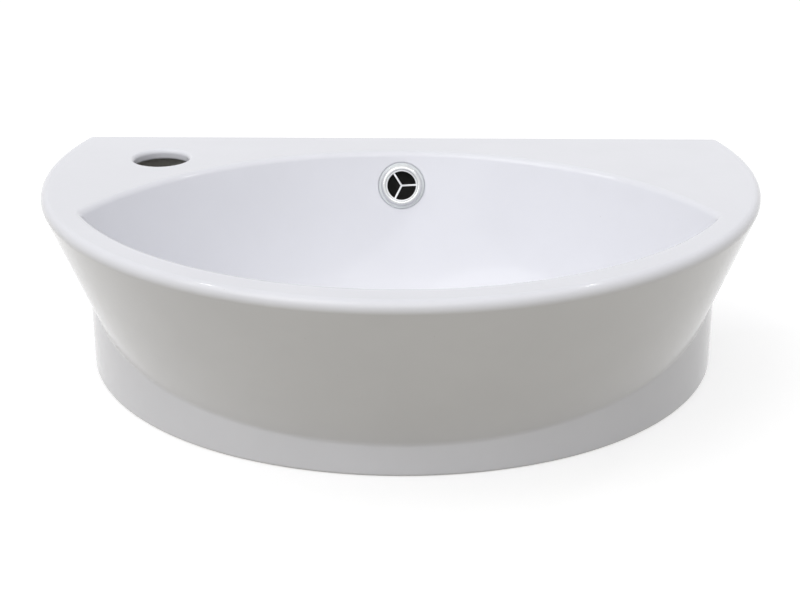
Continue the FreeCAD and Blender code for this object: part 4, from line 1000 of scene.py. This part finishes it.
# The waste's levels and radii that more than one of its pieces uses.
TAIL_RADIUS, GRIP_RADIUS, NECK_RADIUS = 20.95, 20.2, 22.6
NUT_LOW, NUT_TOP, GRIP_LOW = -12.0, -3.0, -12.5
BRIDGE_LOW, BRIDGE_TOP, FLANGE_LOW = 27.5, 33.5, 40.5
PITCH, GROOVE = 2.31, 0.72


def thread_rows(low, high, turn):
    """Rows of a right-hand screw thread with flat crests and roots, running out of the tail at both ends.

    The groove's depth depends on level / pitch - turn / one revolution, taken as a share of one pitch.
    """
    level = np.linspace(low, high, int((high - low) / PITCH * 9) + 2)[:, None]
    share = (level / PITCH - turn / (2 * np.pi)) % 1
    groove = np.clip(1.35 - np.abs(share - 0.5) * 4, 0, 1)
    ends = np.clip(np.minimum(level - low, high - level) / PITCH, 0, 1)
    return lifted(polar(TAIL_RADIUS - GROOVE * groove * ends, turn, 0, -WASTE_AHEAD), level + 0 * turn)


class BASIN_OT_waste(bpy.types.Operator):
    """Builds the slotted waste with its thread, its seal, its washers and its nut"""

    bl_idname = "basin.waste"
    bl_label = "Waste"

    def execute(self, context):
        self.body()
        seal = [(NECK_RADIUS, 38.5), (31, 38.5), (31, FLANGE_LOW), (NECK_RADIUS, FLANGE_LOW)]
        upright("flange_seal", seal, (0, 0.7, 0.7, 0.2))
        cone = [(TAIL_RADIUS, -1), (31, -1), (31, BOSS_LEVEL), (22.9, BOSS_LEVEL), (22, 8), (TAIL_RADIUS, 8)]
        upright("tail_washer", cone, (0, 0.8, 0.8, 0.4, 0.4, 0.1))
        slip = [(TAIL_RADIUS, NUT_TOP), (30, NUT_TOP), (30, -1), (TAIL_RADIUS, -1)]
        upright("slip_washer", slip, (0, 0.35, 0.35, 0.2))
        self.nut()
        return {"FINISHED"}

    def body(self):
        """Tail, neck and flange in one turned piece; the slots are cut and the bridge joined afterwards."""
        columns = 120
        turn = np.arange(columns) * 2 * np.pi / columns
        foot = about_waste([(18, -27), (19.95, -27)], columns)
        grip = about_waste([(GRIP_RADIUS, GRIP_LOW), (GRIP_RADIUS, NUT_TOP)], columns)
        flange = [(TAIL_RADIUS, 34.5), (NECK_RADIUS, 36), (NECK_RADIUS, FLANGE_LOW), (31, FLANGE_LOW), (32, 41.5)]
        flange += [(32, 42.5), (31, 43.5), (24.4, 43.5), (18, 37.9), (18, 34)]
        flange = about_waste(softened(flange, (0, 0.3, 0.2, 0.5, 0.5, 0.8, 1.2, 1.5, 0.8, 0)), columns)
        parts = [foot, thread_rows(-26, GRIP_LOW, turn), grip, thread_rows(NUT_TOP, 34.4, turn), flange]
        body = stack(piece_name("waste_body"), np.concatenate(parts), closed=True)
        body = carve(body, "DIFFERENCE", [box("slot", (-12, -30, SLOT_LOW), (12, 30, SLOT_HIGH))])
        hub = about_waste([(7.5, BRIDGE_LOW), (10.5, BRIDGE_LOW), (10.5, BRIDGE_TOP), (7.5, BRIDGE_TOP)], 72)
        arms = [box("arm", (9, -2, BRIDGE_LOW), (18.4, 2, BRIDGE_TOP), math.radians(way)) for way in (30, 150, 270)]
        body = carve(body, "UNION", [stack("hub", hub, closed=True), *arms])
        placed(body, "waste_body")

    def nut(self):
        """Six flats whose corners are turned off by cones above and below: the smaller distance counts."""
        turn = np.arange(288) * np.pi / 144
        low, top, mouth = NUT_LOW, NUT_TOP, GRIP_RADIUS + 1
        flats = 26.0 / np.cos(turn % (np.pi / 3) - np.pi / 6)
        level = low + (top - low) * (1 - np.cos(np.linspace(0, np.pi, 41)[:, None])) / 2
        radius = np.minimum(flats, 26.6 + 1.7 * np.minimum(level - low, top - level))
        outer = lifted(polar(radius, turn, 0, -WASTE_AHEAD), level + 0 * turn)
        under = about_waste([(GRIP_RADIUS, low + 1), (mouth, low)], 288)
        over = about_waste([(mouth, top), (GRIP_RADIUS, top - 1)], 288)
        placed(stack("back.nut", np.concatenate([under, outer, over]), closed=True), "backnut", 22)


class BASIN_OT_plug(bpy.types.Operator):
    """Builds the domed plug, its seal and the spring that lifts it"""

    bl_idname = "basin.plug"
    bl_label = "Plug"

    def execute(self, context):
        # The cap's underside with its socket and its collar, then a dome cut from a large sphere.
        edge, low, side, sphere, centre = 29.5, 53.2, 54.6, 140.0, 0.002
        under = [(4, 54.8), (4, 46.2), (7, 46.2), (7, low), (17, low), (17, 49.7), (19, 49.7), (19, low)]
        under = softened([*under, (edge, low), (edge, side)], (0, 0.3, 0.4, 0.5, 0.3, 0.4, 0.4, 0.3, 0.6, 0))
        out = edge * np.cos(np.linspace(0, np.pi / 2, 34)[1:]) + centre
        dome = np.stack([out, side + np.sqrt(sphere**2 - out**2) - math.sqrt(sphere**2 - edge**2)], axis=-1)
        rows = about_waste(np.concatenate([[(centre, 54.8)], under, dome]), 144)
        placed(stack(piece_name("plug_cap"), rows), "plug_cap", 50)
        lip = [(19, 49.2), (20.2, 49.2), (23.5, 52.1), (23.5, 53.2), (19, 53.2)]
        upright("plug_seal", lip, (0, 0.3, 0.5, 0.2, 0.2))
        self.spring()
        return {"FINISHED"}

    def spring(self):
        """A round wire wound seven turns, its first and last turn lying flat."""
        turns, wire, radius = 7, 0.5, 3.8
        bottom, top = -1, 25.6
        along = np.linspace(0, 1, turns * 44 + 1)
        angle = along * turns * 2 * np.pi
        low, high = bottom + wire, top - wire
        climb = np.interp(along * turns, [0, 1, turns - 1, turns], [0, 0.042, 0.958, 1])
        ring = np.arange(14) * np.pi / 7
        out = radius + wire * np.cos(ring) + 0 * angle[:, None]
        level = low + (high - low) * climb[:, None] + wire * np.sin(ring)
        rows = lifted(polar(out, angle[:, None], 0, -WASTE_AHEAD), level)
        spring = placed(stack(piece_name("plug_spring"), rows), "plug_spring", 60)
        # It is 26.6 mm long at rest and 17.6 mm with the plug down.
        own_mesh(spring)


class BASIN_OT_rest(bpy.types.Operator):
    """Gives the CAD pieces that stay as they are their finishes"""

    bl_idname = "basin.rest"
    bl_label = "Remaining pieces"

    def execute(self, context):
        for node, thing in frame["nodes"].items():
            if not thing.hide_render:
                thing.data.materials.clear()
                thing.data.materials.append(finish(SLOTS[node]))
        return {"FINISHED"}


# ---------------------------------------------------------------- stage


# The floor's colour as the basin's glaze receives it, and the colour of the even light.
BOUNCE = (0.39, 0.37, 0.305)
AIR = (0.985, 0.985, 1.0, 1.0)


def seen_rays(tree):
    """Two outputs: 1 for rays from the camera, and 1 for those and for rays in reflections and through glass."""
    path = tree.nodes.new("ShaderNodeLightPath")
    camera = seen = path.outputs["Is Camera Ray"]
    for other in ("Is Glossy Ray", "Is Transmission Ray"):
        either = tree.nodes.new("ShaderNodeMath")
        either.operation = "MAXIMUM"
        tree.links.new(seen, either.inputs[0])
        tree.links.new(path.outputs[other], either.inputs[1])
        seen = either.outputs[0]
    return camera, seen


def mix_shaders(tree, output, *sockets):
    """Links a factor and two shaders to a Mix Shader, and that to the output node."""
    mix = tree.nodes.new("ShaderNodeMixShader")
    for number, socket in enumerate(sockets):
        tree.links.new(socket, mix.inputs[number])
    tree.links.new(mix.outputs[0], output.inputs[0])


def aim(thing, target):
    """Turns a light so that it shines at a point."""
    way = np.asarray(target, float) - np.asarray(thing.location, float)
    flat = math.hypot(way[0], way[1])
    thing.rotation_euler = (math.atan2(flat, -way[2]), 0, math.atan2(-way[0], way[1]))


class BASIN_OT_stage(bpy.types.Operator):
    """Sets up the floor, the soft lights and the camera"""

    bl_idname = "basin.stage"
    bl_label = "Stage"

    def execute(self, context):
        self.floor()
        self.world()
        self.lights()
        self.camera()
        return {"FINISHED"}

    def floor(self):
        """A wide ring round the waste, level with the foot, as the waste passes through what carries the basin.

        It is white to the eye and in reflections, and a dim warm grey as a source of light on the basin.
        """
        radius = np.array([48.0, 60.0, 400.0, 900.0, 2000.0, 6000.0])
        rows = about_waste(np.stack([radius, np.full(6, -0.05)], axis=-1), 64)
        floor = on_foot(add_mesh("floor", rows, ring_faces(6, 64)))
        if floor.data.polygons[0].normal.z < 0:
            floor.data.flip_normals()
        recipe = Recipe("floor_paper", Emission_Strength=1.0, Specular_IOR_Level=0.0)
        output = next(n for n in recipe.tree.nodes if n.type == "OUTPUT_MATERIAL")
        camera, seen = (Value(recipe, socket) for socket in seen_rays(recipe.tree))
        behind = recipe.node("ShaderNodeNewGeometry")["Backfacing"]
        tint = recipe.noise(3.0)
        recipe.feed(
            Base_Color=recipe.blend(seen, BOUNCE, (0.62, 0.62, 0.62)),
            Emission_Color=recipe.blend(seen, (0.0, 0.0, 0.0), (0.56, 0.56, 0.56)),
            Roughness=0.85 + tint * 0.1,
        )
        clear = recipe.node("ShaderNodeBsdfTransparent")[0]
        mix_shaders(recipe.tree, output, (behind * camera).socket, recipe.shader.outputs[0], clear.socket)
        floor.data.materials.append(recipe.material)

    def world(self):
        """Even light from all round; white to the eye and in reflections."""
        studio = bpy.context.scene.basin_studio
        world = bpy.data.worlds.new("studio")
        bpy.context.scene.world = world
        world.use_nodes = True
        tree = world.node_tree
        plain = tree.nodes["Background"]
        plain.inputs[0].default_value = AIR
        plain.inputs[1].default_value = studio.ambient
        white = tree.nodes.new("ShaderNodeBackground")
        white.inputs[0].default_value = (1, 1, 1, 1)
        white.inputs[1].default_value = 1.0
        mix_shaders(tree, tree.nodes["World Output"], seen_rays(tree)[1], plain.outputs[0], white.outputs[0])

    def lights(self):
        """Wide, far lights, which leave no spots on the glaze, and two small ones for glints on its edges."""
        studio = bpy.context.scene.basin_studio
        for name, kind, power, place, target, spread in (
            ("key", "SUN", studio.key, (-0.52, -0.34, 0.78), (0, 0, 0), math.radians(45)),
            ("front", "SUN", studio.front, (-0.22, -0.64, 0.74), (0, 0, 0), math.radians(60)),
            ("fill", "SUN", studio.fill, (0.2, -0.25, 0.94), (0, 0, 0), math.radians(60)),
            ("spark", "AREA", studio.spark, (-0.68, -0.02, 1.08), (0, -0.12, 0), 0.06),
            ("spark", "AREA", studio.spark, (0.68, -0.02, 1.08), (0, -0.12, 0), 0.06),
        ):
            data = bpy.data.lights.new(name, kind)
            data.energy = power
            setattr(data, "angle" if kind == "SUN" else "size", spread)
            lamp = bpy.data.objects.new(name, data)
            lamp.location = place
            bpy.context.collection.objects.link(lamp)
            aim(lamp, target)

    def camera(self):
        """A camera whose place, turn and lens were fitted to the edges in the photograph."""
        data = bpy.data.cameras.new("camera")
        data.lens, data.sensor_width = 76.5, 36.0
        data.shift_x = -0.0033
        thing = bpy.data.objects.new("camera", data)
        thing.location = (0.0174, -1.1074, 0.3719)
        thing.rotation_euler = (math.pi / 2 - 0.383037, 0, 0.015742)
        bpy.context.collection.objects.link(thing)
        bpy.context.scene.camera = thing


class BASIN_PT_panel(bpy.types.Panel):
    """Lists the pieces and their sizes, colours and lights"""

    bl_idname = "BASIN_PT_panel"
    bl_label = "Basin"
    bl_space_type = "VIEW_3D"
    bl_region_type = "UI"
    bl_category = "Basin"

    def draw(self, context):
        for label, group in (("Sizes", "basin_sizes"), ("Finishes", "basin_finish"), ("Studio", "basin_studio")):
            box = self.layout.box()
            box.label(text=label)
            source = getattr(context.scene, group)
            for name in source.__annotations__:
                box.prop(source, name)
        for operator in PIECES:
            self.layout.operator(operator.bl_idname)


PIECES = (BASIN_OT_casting, BASIN_OT_overflow, BASIN_OT_waste, BASIN_OT_plug, BASIN_OT_rest, BASIN_OT_stage)
GROUPS = {"basin_sizes": BasinSizes, "basin_finish": BasinFinish, "basin_studio": BasinStudio}


def register():
    """Registers the classes and puts the settings on the scene."""
    for kind in (*GROUPS.values(), *PIECES, BASIN_PT_panel):
        bpy.utils.register_class(kind)
    for name, group in GROUPS.items():
        setattr(bpy.types.Scene, name, PointerProperty(type=group))


def unregister():
    """Takes the settings off the scene and the classes out."""
    for name in GROUPS:
        delattr(bpy.types.Scene, name)
    for kind in (BASIN_PT_panel, *reversed(PIECES), *reversed(GROUPS.values())):
        bpy.utils.unregister_class(kind)


def main():
    """Builds the basin and its stage piece by piece."""
    register()
    bpy.context.scene.view_settings.view_transform = "Standard"
    for operator in PIECES:
        getattr(bpy.ops.basin, operator.bl_idname.split(".")[1])()


if __name__ == "__main__":
    main()
